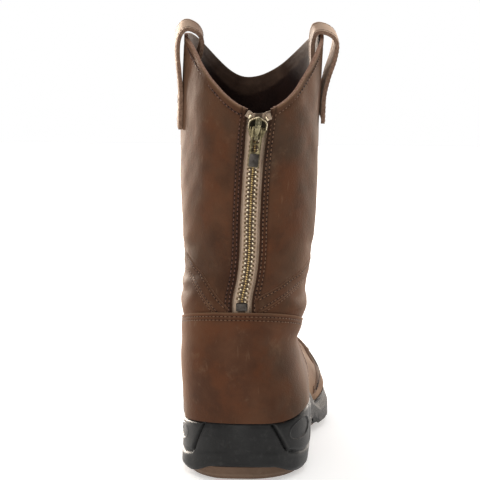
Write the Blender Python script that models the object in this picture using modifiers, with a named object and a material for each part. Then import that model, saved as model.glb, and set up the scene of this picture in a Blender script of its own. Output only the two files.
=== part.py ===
"""Pull-on work boot, right foot, with a moc toe, a scalloped shaft and a zip up the back.

The boot stands on its sole. +X is the outer (lateral) side, +Y points from heel to toe, +Z is up.
The origin is the middle of the heel tread, on the floor. Tables and lengths are in millimetres
(MM turns them into metres), with y counted from the back of the heel until place() shifts it.
"""
import math
from collections import namedtuple

import bmesh
import bpy
from mathutils import Matrix, Vector

MM = 0.001
BOOT = "moc_toe_work_boot"

# Driving dimensions of the boot
HEEL_TREAD_Y = 48.0        # origin, counted from the back of the heel
WALL = 2.4                 # leather of the upper
GAP = 0.3                  # pieces that touch stay this far apart
INFLARE = 21.0             # how far the toe bends to the inner side
INFLARE_START = 60.0
INFLARE_RUN = 246.0
INFLARE_POWER = 2.9
TOE_SQUARE = 2.3           # exponent of the toe's outline
MEDIAL_TOE = 0.56          # the inner side stays straight for longer before it rounds
STEP_V = 0.01              # steps used to find the direction of the skin
STEP_ANGLE = 0.002

# Where the heel, waist and ball widths sit along a ring, 0 at its back and 1 at its front
HEEL_AT = 0.14
WAIST_AT = 0.42
BALL_AT = 0.64

# The last: one row for each ring, from the feather edge at the sole up to the collar
Ring = namedtuple("Ring", "back_y back_z side_z front_y front_z heel waist ball back_round "
                          "front_round inflare centre_x twist outer_waist outer_ball")
RINGS = (
    #    back y     z  side z front y    z   heel waist  ball  round back, front  flare centre twist outer waist, ball
    Ring(7.0, 29.0, 19.0, 297.0, 25.0, 36.0, 33.0, 47.0, 0.135, 0.44, 1.00, 0.0, 0.0, 0.0, 0.0),
    Ring(3.5, 39.5, 29.0, 301.0, 36.0, 39.3, 36.5, 49.5, 0.140, 0.45, 1.00, 0.0, 0.0, 0.0, 0.0),
    Ring(2.4, 50.0, 40.5, 299.5, 47.0, 39.8, 37.0, 46.5, 0.140, 0.47, 1.05, -0.2, 0.0, 0.5, -3.6),
    Ring(2.6, 61.0, 52.0, 290.0, 58.0, 39.6, 36.0, 38.0, 0.150, 0.50, 1.20, -1.4, 0.0, 1.6, -3.0),
    Ring(3.5, 71.0, 63.0, 272.0, 67.0, 38.8, 34.2, 30.5, 0.160, 0.53, 1.40, -3.2, 0.0, 1.6, -1.5),
    Ring(5.0, 81.0, 74.5, 249.0, 75.5, 38.0, 32.8, 26.5, 0.180, 0.54, 1.50, -4.6, 0.1, 1.0, 0.0),
    Ring(6.5, 91.0, 86.5, 226.0, 85.0, 36.9, 32.0, 27.0, 0.200, 0.52, 1.35, -5.5, 0.4, 0.5, 0.0),
    Ring(8.0, 101.0, 98.5, 203.0, 96.5, 40.2, 37.0, 33.1, 0.250, 0.56, 0.90, -4.3, 1.1, 0.0, 0.0),
    Ring(9.2, 111.0, 110.5, 181.0, 110.0, 43.5, 41.9, 39.2, 0.300, 0.58, 0.40, -3.9, 1.9, 0.0, 0.0),
    Ring(10.2, 122.0, 122.0, 163.0, 124.0, 42.1, 41.7, 40.4, 0.360, 0.58, 0.15, -4.1, 2.6, 0.0, 0.0),
    Ring(10.5, 135.0, 135.5, 151.0, 139.0, 42.1, 42.1, 42.1, 0.420, 0.57, 0.00, -2.0, 3.3, 0.0, 0.0),
    Ring(10.2, 152.0, 152.5, 144.5, 157.0, 44.2, 44.2, 44.2, 0.470, 0.53, 0.00, -1.0, 4.2, 0.0, 0.0),
    Ring(8.8, 178.0, 179.0, 142.5, 182.0, 46.1, 46.1, 46.1, 0.500, 0.50, 0.00, -0.8, 4.8, 0.0, 0.0),
    Ring(6.8, 207.0, 212.0, 143.5, 211.0, 46.2, 46.2, 46.2, 0.500, 0.50, 0.00, -0.2, 5.6, 0.0, 0.0),
    Ring(4.8, 231.0, 253.0, 145.5, 236.0, 46.4, 46.4, 46.4, 0.500, 0.50, 0.00, 1.0, 6.4, 0.0, 0.0),
    Ring(3.4, 248.0, 291.0, 147.5, 254.0, 46.4, 46.4, 46.4, 0.500, 0.50, 0.00, 2.8, 6.6, 0.0, 0.0),
)
COLLAR = float(len(RINGS) - 1)
INNER_LIFT = 5.4           # the collar stands higher on the inner side of its front
INNER_LIFT_RING = 12.0     # and the lift starts above this ring
RIM = 1.0                  # the ring at the top of the sole's cup
UPPER_COLUMNS = 40
UPPER_ROWS = 28
SLOT_ROW = 15              # the zip's slot opens above this row

# Back zip
SLOT_HALF = 6.2
SLOT_FLARE = 2.8           # extra half width at the top
SLOT_FLARE_FROM = 210.0
SLOT_FLARE_TO = 243.0
TAPE_HALF = 11.5
TAPE_DEPTH = 2.85          # face of the tape below the leather's face
TAPE_THICK = 0.8
TAPE_FOOT = 108.5
TAPE_TOP = 246.0
TAPE_ROWS = 14
TOOTH_PITCH = 3.0
TOOTH_WIDE = 3.2
TOOTH_NARROW = 2.2
CHAIN_THICK = 2.2
CHAIN_FOOT = 119.5
CHAIN_TOP = 229.0
STOP_SIZE = (7.4, 5.2, 2.6)
STOP_Z = 116.4
STOP_DEPTH = 1.2
SLIDER_Z = 237.5
SLIDER_THICK = 4.6
SLIDER_OUT = 2.2           # face of the slider above the leather's face
SLIDER_OUTLINE = ((0.0, 6.6), (4.5, 5.5), (6.6, 2.6), (6.3, -1.2), (4.5, -6.0), (3.2, -7.4))
BAIL_HALF = 1.2
BAIL_LENGTH = 2.8          # half its length along the zip
BAIL_OUT = 5.9
BAIL_ROOT = 1.6
BAIL_WINDOW = (1.8, 2.3, 4.8)   # half length, from, to
PIVOT_OUT = 3.5
TAB_THICK = 1.4
TAB_OUTLINE = ((3.0, 0.7), (3.0, -4.6), (2.6, -9.0), (3.0, -15.0), (3.6, -19.5), (3.6, -26.6), (2.8, -27.6))
TAB_WINDOW = (1.8, -0.7, -9.0)
TAB_HOLE_Z = -13.4
TAB_HOLE_RADIUS = 1.9
HOLE_SIDES = 16

# Overlays on the upper
COUNTER_THICK = 1.6
COUNTER_GAP = 0.8
COUNTER_CLEAR = 1.5        # its lower edge above the rim of the cup
COUNTER_TOP = 114.2
COUNTER_FALL = 36.0        # how far its top edge drops over the run below
COUNTER_FALL_RUN = 100.0
COUNTER_FALL_POWER = 1.4
COUNTER_FRONT_FOOT = 118.0
COUNTER_FRONT_TOP = 94.0
COUNTER_COLUMNS = 9        # on each side, in step with the columns of the upper
COUNTER_ROWS = 10
BAND_THICK = 0.9
BAND_GAP = 0.6             # the ankle is hollow, so its facets stand out further
BAND_WIDTH = 10.0
BandSide = namedtuple("BandSide", "root_z side_z")
BAND_SIDES = {             # its lower edge climbs evenly from the back line to the side
    "lateral": BandSide(107.6, 131.8),
    "medial": BandSide(98.6, 139.5),
}
BAND_LOWEST_Z = 115.0      # but never below this
BAND_FRONT_Z = 156.0
BAND_COLUMNS = 40
SEAM_THICK = 1.5
SEAM_GAP = 0.5
SEAM_HALF = 0.17           # half its width, in rings
SEAM_RING = 2.9
SEAM_FALL = 1.2            # rings lost along its two sides
SEAM_FALL_Y = 290.0        # from here backwards
SEAM_FALL_RUN = 110.0
SEAM_DIP = 0.5             # rings lost again at its two ends
SEAM_DIP_RUN = 27.0
SEAM_END_Y = 163.0
SEAM_COLUMNS = 36

# Pull straps over the two side peaks: height above the peak and distance out from the leather
StrapRow = namedtuple("StrapRow", "rise out")
STRAP_PATH = (
    StrapRow(-60.0, 1.8),
    StrapRow(-50.0, 1.8),
    StrapRow(-40.0, 1.9),
    StrapRow(-27.0, 3.4),
    StrapRow(-13.0, 5.8),
    StrapRow(-2.0, 6.4),
    StrapRow(4.5, 4.2),
    StrapRow(7.5, -1.0),
    StrapRow(4.5, -7.0),
    StrapRow(-3.0, -9.6),
    StrapRow(-16.0, -7.6),
    StrapRow(-30.0, -4.6),
    StrapRow(-46.0, -4.4),
)
STRAP_THICK = 2.4
STRAP_HALF_ANGLE = 0.18
STRAP_COLUMNS = 4
STRAP_STEPS = 2            # steps between two rows of the path
STRAP_TILT = 0.14          # the front edge stands higher
STRAP_INSIDE = 4.4         # and further in than this it is free of the lining
StrapFit = namedtuple("StrapFit", "reach free_out inner rise_share drop")
STRAP_FITS = {             # share of the path outside and where it starts, share inside, of the height, and a drop
    "lateral": StrapFit(1.5, 0.0, 0.4, 0.91, 2.8),
    "medial": StrapFit(0.85, 2.0, 1.25, 1.0, 1.0),
}

# Sole
SOLE_COLUMNS = 100
HEEL_BEVEL_Y = 12.0
HEEL_BEVEL_RISE = 2.6
HEEL_END_Y = 84.0
ARCH_FROM_Y = 104.0
ARCH_TO_Y = 148.0
ARCH_RISE = 7.0
TREAD_FROM_Y = 168.0
SPRING_FROM_Y = 228.0
SPRING_RUN = 78.0
SPRING_RISE = 16.0
SPRING_POWER = 1.8
OUTSOLE_HEEL = 8.0         # thickness under the heel
OUTSOLE_TOE = 5.0
BOOT_LENGTH = 304.0
CUP_END_Y = 123.0          # the rim of the cup ends here
GUARD_FROM_Y = 126.0       # and the toe guard takes over
RIM_FADE = 6.0
RIM_LIFT = 10.0            # the rim climbs along the outer side of the heel
RIM_LIFT_FROM_Y = 6.0
RIM_LIFT_RUN = 38.0
RIM_LIFT_END_Y = 126.0
RIM_LIFT_FALL = 44.0
CUP_OUTSET = -0.3          # the cup's side behind the toe guard
SEAT_CLEAR = 0.6
INNER_SHARES = (1.0, 0.72, 0.45, 0.0)   # rows down the inside of the cup, from its rim to the seat
SoleRow = namedtuple("SoleRow", "share outset lip pod")
MIDSOLE_ROWS = (           # share of the height from base to rim, distance out, shares of lip and pod
    SoleRow(0.00, -2.7, 0.0, 0.0),
    SoleRow(0.00, -1.9, 1.0, 0.0),
    SoleRow(0.02, 1.6, 1.0, 0.0),
    SoleRow(0.28, 2.7, 0.3, 0.0),
    SoleRow(0.36, 1.2, 0.0, 0.0),
    SoleRow(0.42, 1.9, 0.0, 0.6),
    SoleRow(0.66, 2.4, 0.0, 1.0),
    SoleRow(0.86, 2.0, 0.0, 0.6),
    SoleRow(1.00, 1.9, 0.0, 0.0),
)
Pod = namedtuple("Pod", "from_y to_y")
PODS = (Pod(12.0, 50.0), Pod(53.0, 93.0), Pod(97.0, 120.0))
POD_RISE = 1.3             # swellings along the side of the cup
LIP_DROP = 4.6             # the skirt hangs lower at both sides of the heel
LIP_FROM_X = 17.0
LIP_RUN_X = 9.0
LIP_END_Y = 92.0
LIP_RUN_Y = 20.0
OUTSOLE_ROWS = (           # share of its thickness, distance out
    SoleRow(0.0, -5.0, 0.0, 0.0),
    SoleRow(0.3, -3.6, 0.0, 0.0),
    SoleRow(1.0, -3.2, 0.0, 0.0),
)
GROOVE_WIDTH = 5.0
GROOVE_DEPTH = 3.2
GROOVE_LENGTH = 150.0
GROOVES_Y = (28.0, 68.0, 178.0, 196.0, 214.0, 232.0, 251.0)
GuardRow = namedtuple("GuardRow", "y top")
GUARD_TOP = (              # the wavy top edge of the toe guard
    GuardRow(125.0, 31.0),
    GuardRow(134.0, 32.3),
    GuardRow(168.0, 19.5),
    GuardRow(200.0, 24.0),
    GuardRow(226.0, 30.5),
    GuardRow(262.0, 37.5),
    GuardRow(304.0, 41.0),
)
GUARD_THICK = 2.5
GUARD_FOOT = 2.6           # its lower edge above the tread
GUARD_TUCK = 2.2           # and how far that edge turns in under
GUARD_GAP = 1.0
GUARD_COLUMNS = 64
GUARD_SHARES = (0.0, 0.1, 0.25, 0.5, 0.75, 1.0)
INSOLE_INSET = 3.6
INSOLE_THICK = 3.6
INSOLE_COLUMNS = 44

COLOURS = {                # base colour, roughness, metallic
    "leather": ((0.105, 0.045, 0.022, 1.0), 0.55, 0.0),
    "leather_edge": ((0.14, 0.06, 0.03, 1.0), 0.6, 0.0),
    "midsole_rubber": ((0.022, 0.022, 0.022, 1.0), 0.5, 0.0),
    "outsole_rubber": ((0.115, 0.075, 0.05, 1.0), 0.7, 0.0),
    "footbed": ((0.06, 0.055, 0.05, 1.0), 0.9, 0.0),
    "tape": ((0.42, 0.31, 0.2, 1.0), 0.9, 0.0),
    "brass": ((0.45, 0.3, 0.12, 1.0), 0.35, 1.0),
    "dark_brass": ((0.12, 0.1, 0.06, 1.0), 0.4, 1.0),
}


def clear_scene():
    for old in list(bpy.data.objects):
        bpy.data.objects.remove(old, do_unlink=True)


def smooth(x):
    x = min(max(x, 0.0), 1.0)
    return x * x * (3.0 - 2.0 * x)


def lerp(a, b, share):
    return a + (b - a) * share


def curve_value(before, start, end, after, share):
    """One number on a smooth curve through four neighbours, between the middle two."""
    rise_in = (end - before) / 2.0
    rise_out = (after - start) / 2.0
    s2 = share * share
    s3 = s2 * share
    return ((2 * s3 - 3 * s2 + 1) * start + (s3 - 2 * s2 + share) * rise_in
            + (3 * s2 - 2 * s3) * end + (s3 - s2) * rise_out)


def curve_row(rows, v):
    """The row at v on a smooth curve through all the rows of a table."""
    last = len(rows) - 1
    low = min(max(int(math.floor(v)), 0), last - 1)
    picks = [rows[min(max(low + k, 0), last)] for k in (-1, 0, 1, 2)]
    return type(rows[0])(*(curve_value(*four, v - low) for four in zip(*picks)))


def table_value(rows, y):
    """Second column of a two column table at y, eased between its rows."""
    for low, high in zip(rows, rows[1:]):
        if y <= high[0]:
            return lerp(low[1], high[1], smooth((y - low[0]) / (high[0] - low[0])))
    return rows[-1][1]


# The skin of the last: ring number v and angle round the ring, 0 at the back, lateral side first


def ring_half(ring, t, side):
    """Half width of a ring at the share t of its length, side 1 lateral and -1 medial."""
    outer = 1.0 if side > 0.0 else 0.0
    waist = ring.waist + outer * ring.outer_waist
    ball = ring.ball + outer * ring.outer_ball
    if t < WAIST_AT:
        width = lerp(ring.heel, waist, smooth((t - HEEL_AT) / (WAIST_AT - HEEL_AT)))
    else:
        width = lerp(waist, ball, smooth((t - WAIST_AT) / (BALL_AT - WAIST_AT)))
    if t < ring.back_round:
        width *= math.sqrt(max(0.0, 1.0 - (1.0 - t / ring.back_round) ** 2))
    toe = ring.front_round
    if side < 0.0:
        toe *= lerp(1.0, MEDIAL_TOE, min(ring.inflare, 1.0))
    front = (t - 1.0 + toe) / toe
    if front > 0.0:
        square = lerp(2.0, TOE_SQUARE, ring.inflare)
        width *= max(0.0, 1.0 - min(front, 1.0) ** square) ** (1.0 / square)
    return width


def ring_height(ring, t):
    return (ring.back_z * (1 - t) * (1 - 2 * t) + ring.side_z * 4 * t * (1 - t)
            + ring.front_z * t * (2 * t - 1))


def inner_lift(angle, v):
    """Extra height of the collar between its front and its inner side."""
    if math.sin(angle) >= 0.0 or math.cos(angle) >= 0.0:
        return 0.0
    share = smooth((v - INNER_LIFT_RING) / (COLLAR - INNER_LIFT_RING))
    return INNER_LIFT * share * math.sin(2.0 * angle) ** 2


def inflare_at(y):
    share = min(max((y - INFLARE_START) / INFLARE_RUN, 0.0), 1.0)
    return -INFLARE * share ** INFLARE_POWER


def skin(angle, v):
    """A point of the outer face of the upper."""
    ring = curve_row(RINGS, v)
    t = (1.0 - math.cos(angle)) / 2.0
    side = 1.0 if math.sin(angle) >= 0.0 else -1.0
    y = lerp(ring.back_y, ring.front_y, t)
    x = side * ring_half(ring, t, side)
    turn = math.radians(ring.twist)
    ahead = y - (ring.back_y + ring.front_y) / 2.0
    x, ahead = (x * math.cos(turn) - ahead * math.sin(turn),
                x * math.sin(turn) + ahead * math.cos(turn))
    x += ring.centre_x + ring.inflare * inflare_at(y)
    z = ring_height(ring, t) + inner_lift(angle, v)
    return Vector((x, ahead + (ring.back_y + ring.front_y) / 2.0, z))


def skin_normal(angle, v):
    v0 = min(max(v, STEP_V), COLLAR - STEP_V)
    round_ring = skin(angle + STEP_ANGLE, v0) - skin(angle - STEP_ANGLE, v0)
    up = skin(angle, v0 + STEP_V) - skin(angle, v0 - STEP_V)
    return round_ring.cross(up).normalized()


def skin_off(angle, v, out):
    return skin(angle, v) + skin_normal(angle, v) * out


def ring_at_height(angle, z):
    """Ring number at which the skin reaches the height z."""
    low, high = 0.0, COLLAR
    for _ in range(40):
        middle = (low + high) / 2.0
        if skin(angle, middle).z < z:
            low = middle
        else:
            high = middle
    return (low + high) / 2.0


def angle_at_y(v, y):
    """Angle on the lateral half of a ring at the length y."""
    ring = curve_row(RINGS, v)
    t = (y - ring.back_y) / (ring.front_y - ring.back_y)
    return math.acos(min(max(1.0 - 2.0 * t, -1.0), 1.0))


def back_angle(v, half):
    """Angle of a point that lies the distance half beside the back line."""
    ring = curve_row(RINGS, v)
    return half / ring.heel * math.sqrt(2.0 * ring.back_round)


def rim_height(angle):
    """Top of the sole's cup, which climbs along the outer side of the heel."""
    rim = skin(angle, RIM)
    if math.sin(angle) <= 0.0:
        return rim.z
    climb = smooth((rim.y - RIM_LIFT_FROM_Y) / RIM_LIFT_RUN)
    return rim.z + RIM_LIFT * climb * smooth((RIM_LIFT_END_Y - rim.y) / RIM_LIFT_FALL)


def slot_angle(v):
    flare = smooth((skin(0.0, v).z - SLOT_FLARE_FROM) / (SLOT_FLARE_TO - SLOT_FLARE_FROM))
    return back_angle(v, SLOT_HALF + SLOT_FLARE * flare)


# Making objects


def place(point):
    """Millimetres from the back of the heel, in metres from the heel tread."""
    return Vector((point[0], point[1] - HEEL_TREAD_Y, point[2])) * MM


def material(name):
    found = bpy.data.materials.get(name)
    if found:
        return found
    colour, roughness, metallic = COLOURS[name]
    made = bpy.data.materials.new(name)
    made.use_nodes = True
    shader = made.node_tree.nodes["Principled BSDF"]
    shader.inputs["Base Color"].default_value = colour
    shader.inputs["Roughness"].default_value = roughness
    shader.inputs["Metallic"].default_value = metallic
    made.diffuse_color = colour
    return made


def collection(name):
    found = bpy.data.collections.get(name)
    if not found:
        found = bpy.data.collections.new(name)
        bpy.context.scene.collection.children.link(found)
    return found


def add_object(name, mesh, finish, group=BOOT):
    made = bpy.data.objects.new(name, mesh)
    collection(group).objects.link(made)
    mesh.materials.append(material(finish))
    return made


def mesh_from(name, points, faces, smooth_angle=math.radians(40.0)):
    mesh = bpy.data.meshes.new(name)
    mesh.from_pydata(points, [], faces)
    mesh.shade_smooth()
    mesh.set_sharp_from_angle(angle=smooth_angle)
    return mesh


def drop_loose(mesh):
    """Remove the points that no face uses."""
    cleaned = bmesh.new()
    cleaned.from_mesh(mesh)
    loose = [point for point in cleaned.verts if not point.link_faces]
    bmesh.ops.delete(cleaned, geom=loose, context="VERTS")
    cleaned.to_mesh(mesh)
    cleaned.free()


def sheet(name, rows, finish, thick, side):
    """An open sheet through rows of points, thickened to one side (-1 inward, 0 both, 1 outward)."""
    wide = len(rows[0])
    points = [place(p) for row in rows for p in row]
    faces = []
    for r in range(len(rows) - 1):
        for c in range(wide - 1):
            a = r * wide + c
            faces.append((a, a + 1, a + wide + 1, a + wide))
    made = add_object(name, mesh_from(name, points, faces), finish)
    thicken(made, thick, side)
    return made


def thicken(made, thick, side):
    wall = made.modifiers.new("wall", "SOLIDIFY")
    wall.thickness = thick * MM
    wall.offset = side
    wall.use_even_offset = True


def stack(name, rings, finish):
    """A closed body through rings of points; its two ends are closed by rungs across the ring."""
    around = len(rings[0])
    points = [place(p) for ring in rings for p in ring]
    faces = []
    for r in range(len(rings) - 1):
        for c in range(around):
            n = (c + 1) % around
            faces.append((r * around + c, r * around + n, (r + 1) * around + n, (r + 1) * around + c))
    top = (len(rings) - 1) * around
    for c in range(around // 2):
        left, left_next = c, c + 1
        right, right_next = (around - c) % around, around - c - 1
        rung = list(dict.fromkeys((left, right, right_next, left_next)))
        faces.append(tuple(rung))
        faces.append(tuple(top + k for k in reversed(rung)))
    return add_object(name, mesh_from(name, points, faces), finish)


def boolean(target, cutter, operation):
    cut = target.modifiers.new(cutter.name, "BOOLEAN")
    cut.operation = operation
    cut.object = cutter
    cutter.hide_render = True
    cutter.display_type = "WIRE"


def box_cutter(name, centre, size, turn=None):
    """A box in metres for cutting or joining, at a matrix if one is given."""
    mesh = bpy.data.meshes.new(name)
    block = bmesh.new()
    bmesh.ops.create_cube(block, size=1.0)
    bmesh.ops.scale(block, vec=size, verts=block.verts)
    bmesh.ops.translate(block, vec=centre, verts=block.verts)
    block.to_mesh(mesh)
    block.free()
    made = bpy.data.objects.new(name, mesh)
    collection("cutters").objects.link(made)
    if turn:
        made.matrix_world = turn
    return made


def flat_plate(name, outlines, thick, finish, matrix):
    """A plate from flat outlines, the first one its edge and the others holes."""
    curve = bpy.data.curves.new(name, "CURVE")
    curve.dimensions = "2D"
    curve.fill_mode = "BOTH"
    curve.extrude = thick * MM / 2.0
    for outline in outlines:
        line = curve.splines.new("POLY")
        line.points.add(len(outline) - 1)
        for point, (x, y) in zip(line.points, outline):
            point.co = (x * MM, y * MM, 0.0, 1.0)
        line.use_cyclic_u = True
    drawn = bpy.data.objects.new(name + "_outline", curve)
    collection(BOOT).objects.link(drawn)
    bpy.context.view_layer.update()
    evaluated = drawn.evaluated_get(bpy.context.evaluated_depsgraph_get())
    mesh = bpy.data.meshes.new_from_object(evaluated)
    bpy.data.objects.remove(drawn, do_unlink=True)
    welded = bmesh.new()
    welded.from_mesh(mesh)
    bmesh.ops.remove_doubles(welded, verts=welded.verts, dist=0.00001)
    bmesh.ops.recalc_face_normals(welded, faces=welded.faces)
    welded.to_mesh(mesh)
    welded.free()
    mesh.materials.clear()
    made = add_object(name, mesh, finish)
    made.matrix_world = matrix
    return made


def mirrored(half):
    """A full outline from its right half, listed from top to bottom."""
    return list(half) + [(-x, y) for x, y in reversed(half) if x > 0.0]


# Upper and its overlays


def upper_angles(v):
    """Columns of the upper: the back line, then from one edge of the slot round to the other."""
    start = slot_angle(v)
    return [0.0] + [lerp(start, 2 * math.pi - start, c / UPPER_COLUMNS) for c in range(UPPER_COLUMNS + 1)]


def upper():
    points = []
    for r in range(UPPER_ROWS + 1):
        v = COLLAR * r / UPPER_ROWS
        points += [place(skin(angle, v)) for angle in upper_angles(v)]
    wide = UPPER_COLUMNS + 2
    faces = []
    for r in range(UPPER_ROWS):
        for c in range(wide):
            if r >= SLOT_ROW and c in (0, wide - 1):
                continue
            n = (c + 1) % wide
            faces.append((r * wide + c, r * wide + n, (r + 1) * wide + n, (r + 1) * wide + c))
    mesh = mesh_from("upper", points, faces)
    drop_loose(mesh)
    thicken(add_object("upper", mesh, "leather"), WALL, -1.0)


def heel_counter():
    rows = []
    foot_angle = angle_at_y(RIM, COUNTER_FRONT_FOOT)
    top_v = ring_at_height(0.0, COUNTER_TOP)
    top_angle = angle_at_y(top_v, COUNTER_FRONT_TOP)
    for r in range(COUNTER_ROWS + 1):
        share = r / COUNTER_ROWS
        side = upper_angles(lerp(RIM, top_v, share))[:COUNTER_COLUMNS]
        side.append(lerp(foot_angle, top_angle, share))
        row = []
        for angle in [-k for k in reversed(side[1:])] + side:
            y = max(skin(angle, top_v).y, 0.0)
            fall = COUNTER_FALL * (y / COUNTER_FALL_RUN) ** COUNTER_FALL_POWER
            high = ring_at_height(angle, COUNTER_TOP - fall)
            low = ring_at_height(angle, rim_height(angle) + COUNTER_CLEAR)
            row.append(skin_off(angle, lerp(low, high, share), COUNTER_GAP))
        rows.append(row)
    sheet("heel_counter", rows, "leather", COUNTER_THICK, 1.0)


def band_height(angle):
    """Lower edge of the band, a straight climb as seen from the back and on to the front."""
    path = BAND_SIDES["lateral" if math.sin(angle) >= 0.0 else "medial"]
    sideways = abs(math.sin(angle))
    if math.cos(angle) > 0.0:
        return max(BAND_LOWEST_Z, lerp(path.root_z, path.side_z, sideways))
    return lerp(BAND_FRONT_Z, path.side_z, sideways)


def ankle_band():
    rows = []
    ends = slot_angle(ring_at_height(0.0, BAND_LOWEST_Z)) + GAP / SLOT_HALF
    for share in (0.0, 0.5, 1.0):
        row = []
        for c in range(BAND_COLUMNS + 1):
            angle = lerp(ends, 2 * math.pi - ends, c / BAND_COLUMNS)
            z = band_height(angle) + BAND_WIDTH * share
            row.append(skin_off(angle, ring_at_height(angle, z), BAND_GAP))
        rows.append(row)
    sheet("ankle_band", rows, "leather", BAND_THICK, 1.0)


def seam_ring(y):
    """Ring that the seam follows: high round the toe, lower along the sides, with a dip at each end."""
    fall = SEAM_FALL * smooth((SEAM_FALL_Y - y) / SEAM_FALL_RUN)
    dip = min(max((SEAM_END_Y + SEAM_DIP_RUN - y) / SEAM_DIP_RUN, 0.0), 1.0)
    return SEAM_RING - fall - SEAM_DIP * dip ** 2


def moc_seam():
    rows = []
    end = angle_at_y(seam_ring(SEAM_END_Y), SEAM_END_Y)
    for side in (-1.0, 0.0, 1.0):
        row = []
        for c in range(SEAM_COLUMNS + 1):
            angle = lerp(end, 2 * math.pi - end, c / SEAM_COLUMNS)
            ring = seam_ring(skin(angle, SEAM_RING).y)
            row.append(skin_off(angle, ring + side * SEAM_HALF, SEAM_GAP))
        rows.append(row)
    sheet("moc_seam", rows, "leather_edge", SEAM_THICK, 1.0)


def pull_strap(name, side):
    """A band sewn outside and inside the wall that loops over one side peak."""
    middle = math.pi / 2.0 if side == "lateral" else 3.0 * math.pi / 2.0
    peak = skin(middle, COLLAR).z
    fit = STRAP_FITS[side]
    rows = []
    for r in range((len(STRAP_PATH) - 1) * STRAP_STEPS + 1):
        path = curve_row(STRAP_PATH, r / STRAP_STEPS)
        out = path.out * fit.reach if path.out > fit.free_out else path.out
        if out < -STRAP_INSIDE:
            out = lerp(-STRAP_INSIDE, out, fit.inner)
        row = []
        for c in range(STRAP_COLUMNS + 1):
            angle = middle + lerp(-STRAP_HALF_ANGLE, STRAP_HALF_ANGLE, c / STRAP_COLUMNS)
            collar = skin(angle, COLLAR)
            tilt = (collar.y - skin(middle, COLLAR).y) * STRAP_TILT
            z = peak + path.rise * fit.rise_share - fit.drop + tilt
            base = skin(angle, ring_at_height(angle, min(z, collar.z)))
            away = skin_normal(angle, COLLAR - 1.0)
            away.z = 0.0
            point = base + away.normalized() * out
            point.z = z
            row.append(point)
        rows.append(row)
    sheet(name, rows, "leather", STRAP_THICK, 0.0)


# Zip


def zip_tape():
    rows = []
    for r in range(TAPE_ROWS + 1):
        v = ring_at_height(0.0, lerp(TAPE_FOOT, TAPE_TOP, r / TAPE_ROWS))
        edge = back_angle(v, TAPE_HALF)
        rows.append([skin_off(edge * k / 2.0, v, -TAPE_DEPTH) for k in range(-2, 3)])
    sheet("zip_tape", rows, "tape", TAPE_THICK, -1.0)


def zip_chain():
    rows = []
    half_pitch = TOOTH_PITCH / 2.0
    for r in range(int((CHAIN_TOP - CHAIN_FOOT) / half_pitch) + 1):
        v = ring_at_height(0.0, CHAIN_FOOT + r * half_pitch)
        left, right = (TOOTH_WIDE, TOOTH_NARROW) if r % 2 else (TOOTH_NARROW, TOOTH_WIDE)
        depth = TAPE_DEPTH - GAP
        rows.append([skin_off(back_angle(v, half), v, -depth) for half in (-left, right)])
    sheet("zip_chain", rows, "brass", CHAIN_THICK, 1.0)


def zip_frame(z, out):
    """A frame on the back line: X across, Y up along the skin, Z out."""
    v = ring_at_height(0.0, z)
    away = skin_normal(0.0, v)
    up = (skin(0.0, v + STEP_V) - skin(0.0, v - STEP_V))
    up = (up - away * up.dot(away)).normalized()
    return frame_of(up.cross(away), up, away, place(skin(0.0, v)) + away * out * MM)


def frame_of(across, up, away, spot):
    return Matrix((
        (across.x, up.x, away.x, spot.x),
        (across.y, up.y, away.y, spot.y),
        (across.z, up.z, away.z, spot.z),
        (0.0, 0.0, 0.0, 1.0),
    ))


def hanging(matrix):
    """The same frame turned about its X axis until its Y axis stands as upright as it can."""
    across = matrix.col[0].to_3d()
    up = Vector((0.0, 0.0, 1.0)) - across * across.z
    up.normalize()
    return frame_of(across, up, across.cross(up), matrix.translation)


def zip_bottom_stop():
    wide, high, thick = STOP_SIZE
    outline = mirrored(((wide / 2, high / 2), (wide / 2, -high / 2)))
    matrix = zip_frame(STOP_Z, -STOP_DEPTH)
    flat_plate("zip_bottom_stop", [outline], thick, "dark_brass", matrix)


def zip_slider():
    middle = SLIDER_OUT - SLIDER_THICK / 2.0
    matrix = zip_frame(SLIDER_Z, middle)
    body = flat_plate("zip_slider", [mirrored(SLIDER_OUTLINE)], SLIDER_THICK, "dark_brass", matrix)
    bail_middle = (BAIL_OUT + BAIL_ROOT) / 2.0 - middle
    bail = box_cutter("bail", Vector((0.0, 0.0, bail_middle)) * MM,
                      Vector((2 * BAIL_HALF, 2 * BAIL_LENGTH, BAIL_OUT - BAIL_ROOT)) * MM, matrix)
    boolean(body, bail, "UNION")
    half, low, high = BAIL_WINDOW
    window = box_cutter("bail_window", Vector((0.0, 0.0, (low + high) / 2.0 - middle)) * MM,
                        Vector((4 * BAIL_HALF, 2 * half, high - low)) * MM, matrix)
    boolean(body, window, "DIFFERENCE")


def zip_pull_tab():
    half, top, foot = TAB_WINDOW
    window = [(half, top), (half, foot), (-half, foot), (-half, top)]
    turn = 2 * math.pi / HOLE_SIDES
    hole = [(TAB_HOLE_RADIUS * math.cos(k * turn), TAB_HOLE_Z + TAB_HOLE_RADIUS * math.sin(k * turn))
            for k in range(HOLE_SIDES)]
    flat_plate("zip_pull_tab", [mirrored(TAB_OUTLINE), window, hole], TAB_THICK, "dark_brass",
               hanging(zip_frame(SLIDER_Z, PIVOT_OUT)))


# Sole


def tread_height(y):
    """Underside of the outsole: flat heel, raised arch, flat forefoot, toe spring."""
    if y < HEEL_BEVEL_Y:
        return HEEL_BEVEL_RISE * ((HEEL_BEVEL_Y - y) / HEEL_BEVEL_Y) ** 2
    if y < ARCH_TO_Y:
        return ARCH_RISE * smooth((y - HEEL_END_Y) / (ARCH_FROM_Y - HEEL_END_Y))
    if y < SPRING_FROM_Y:
        return ARCH_RISE * smooth((TREAD_FROM_Y - y) / (TREAD_FROM_Y - ARCH_TO_Y))
    return SPRING_RISE * ((y - SPRING_FROM_Y) / SPRING_RUN) ** SPRING_POWER


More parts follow.
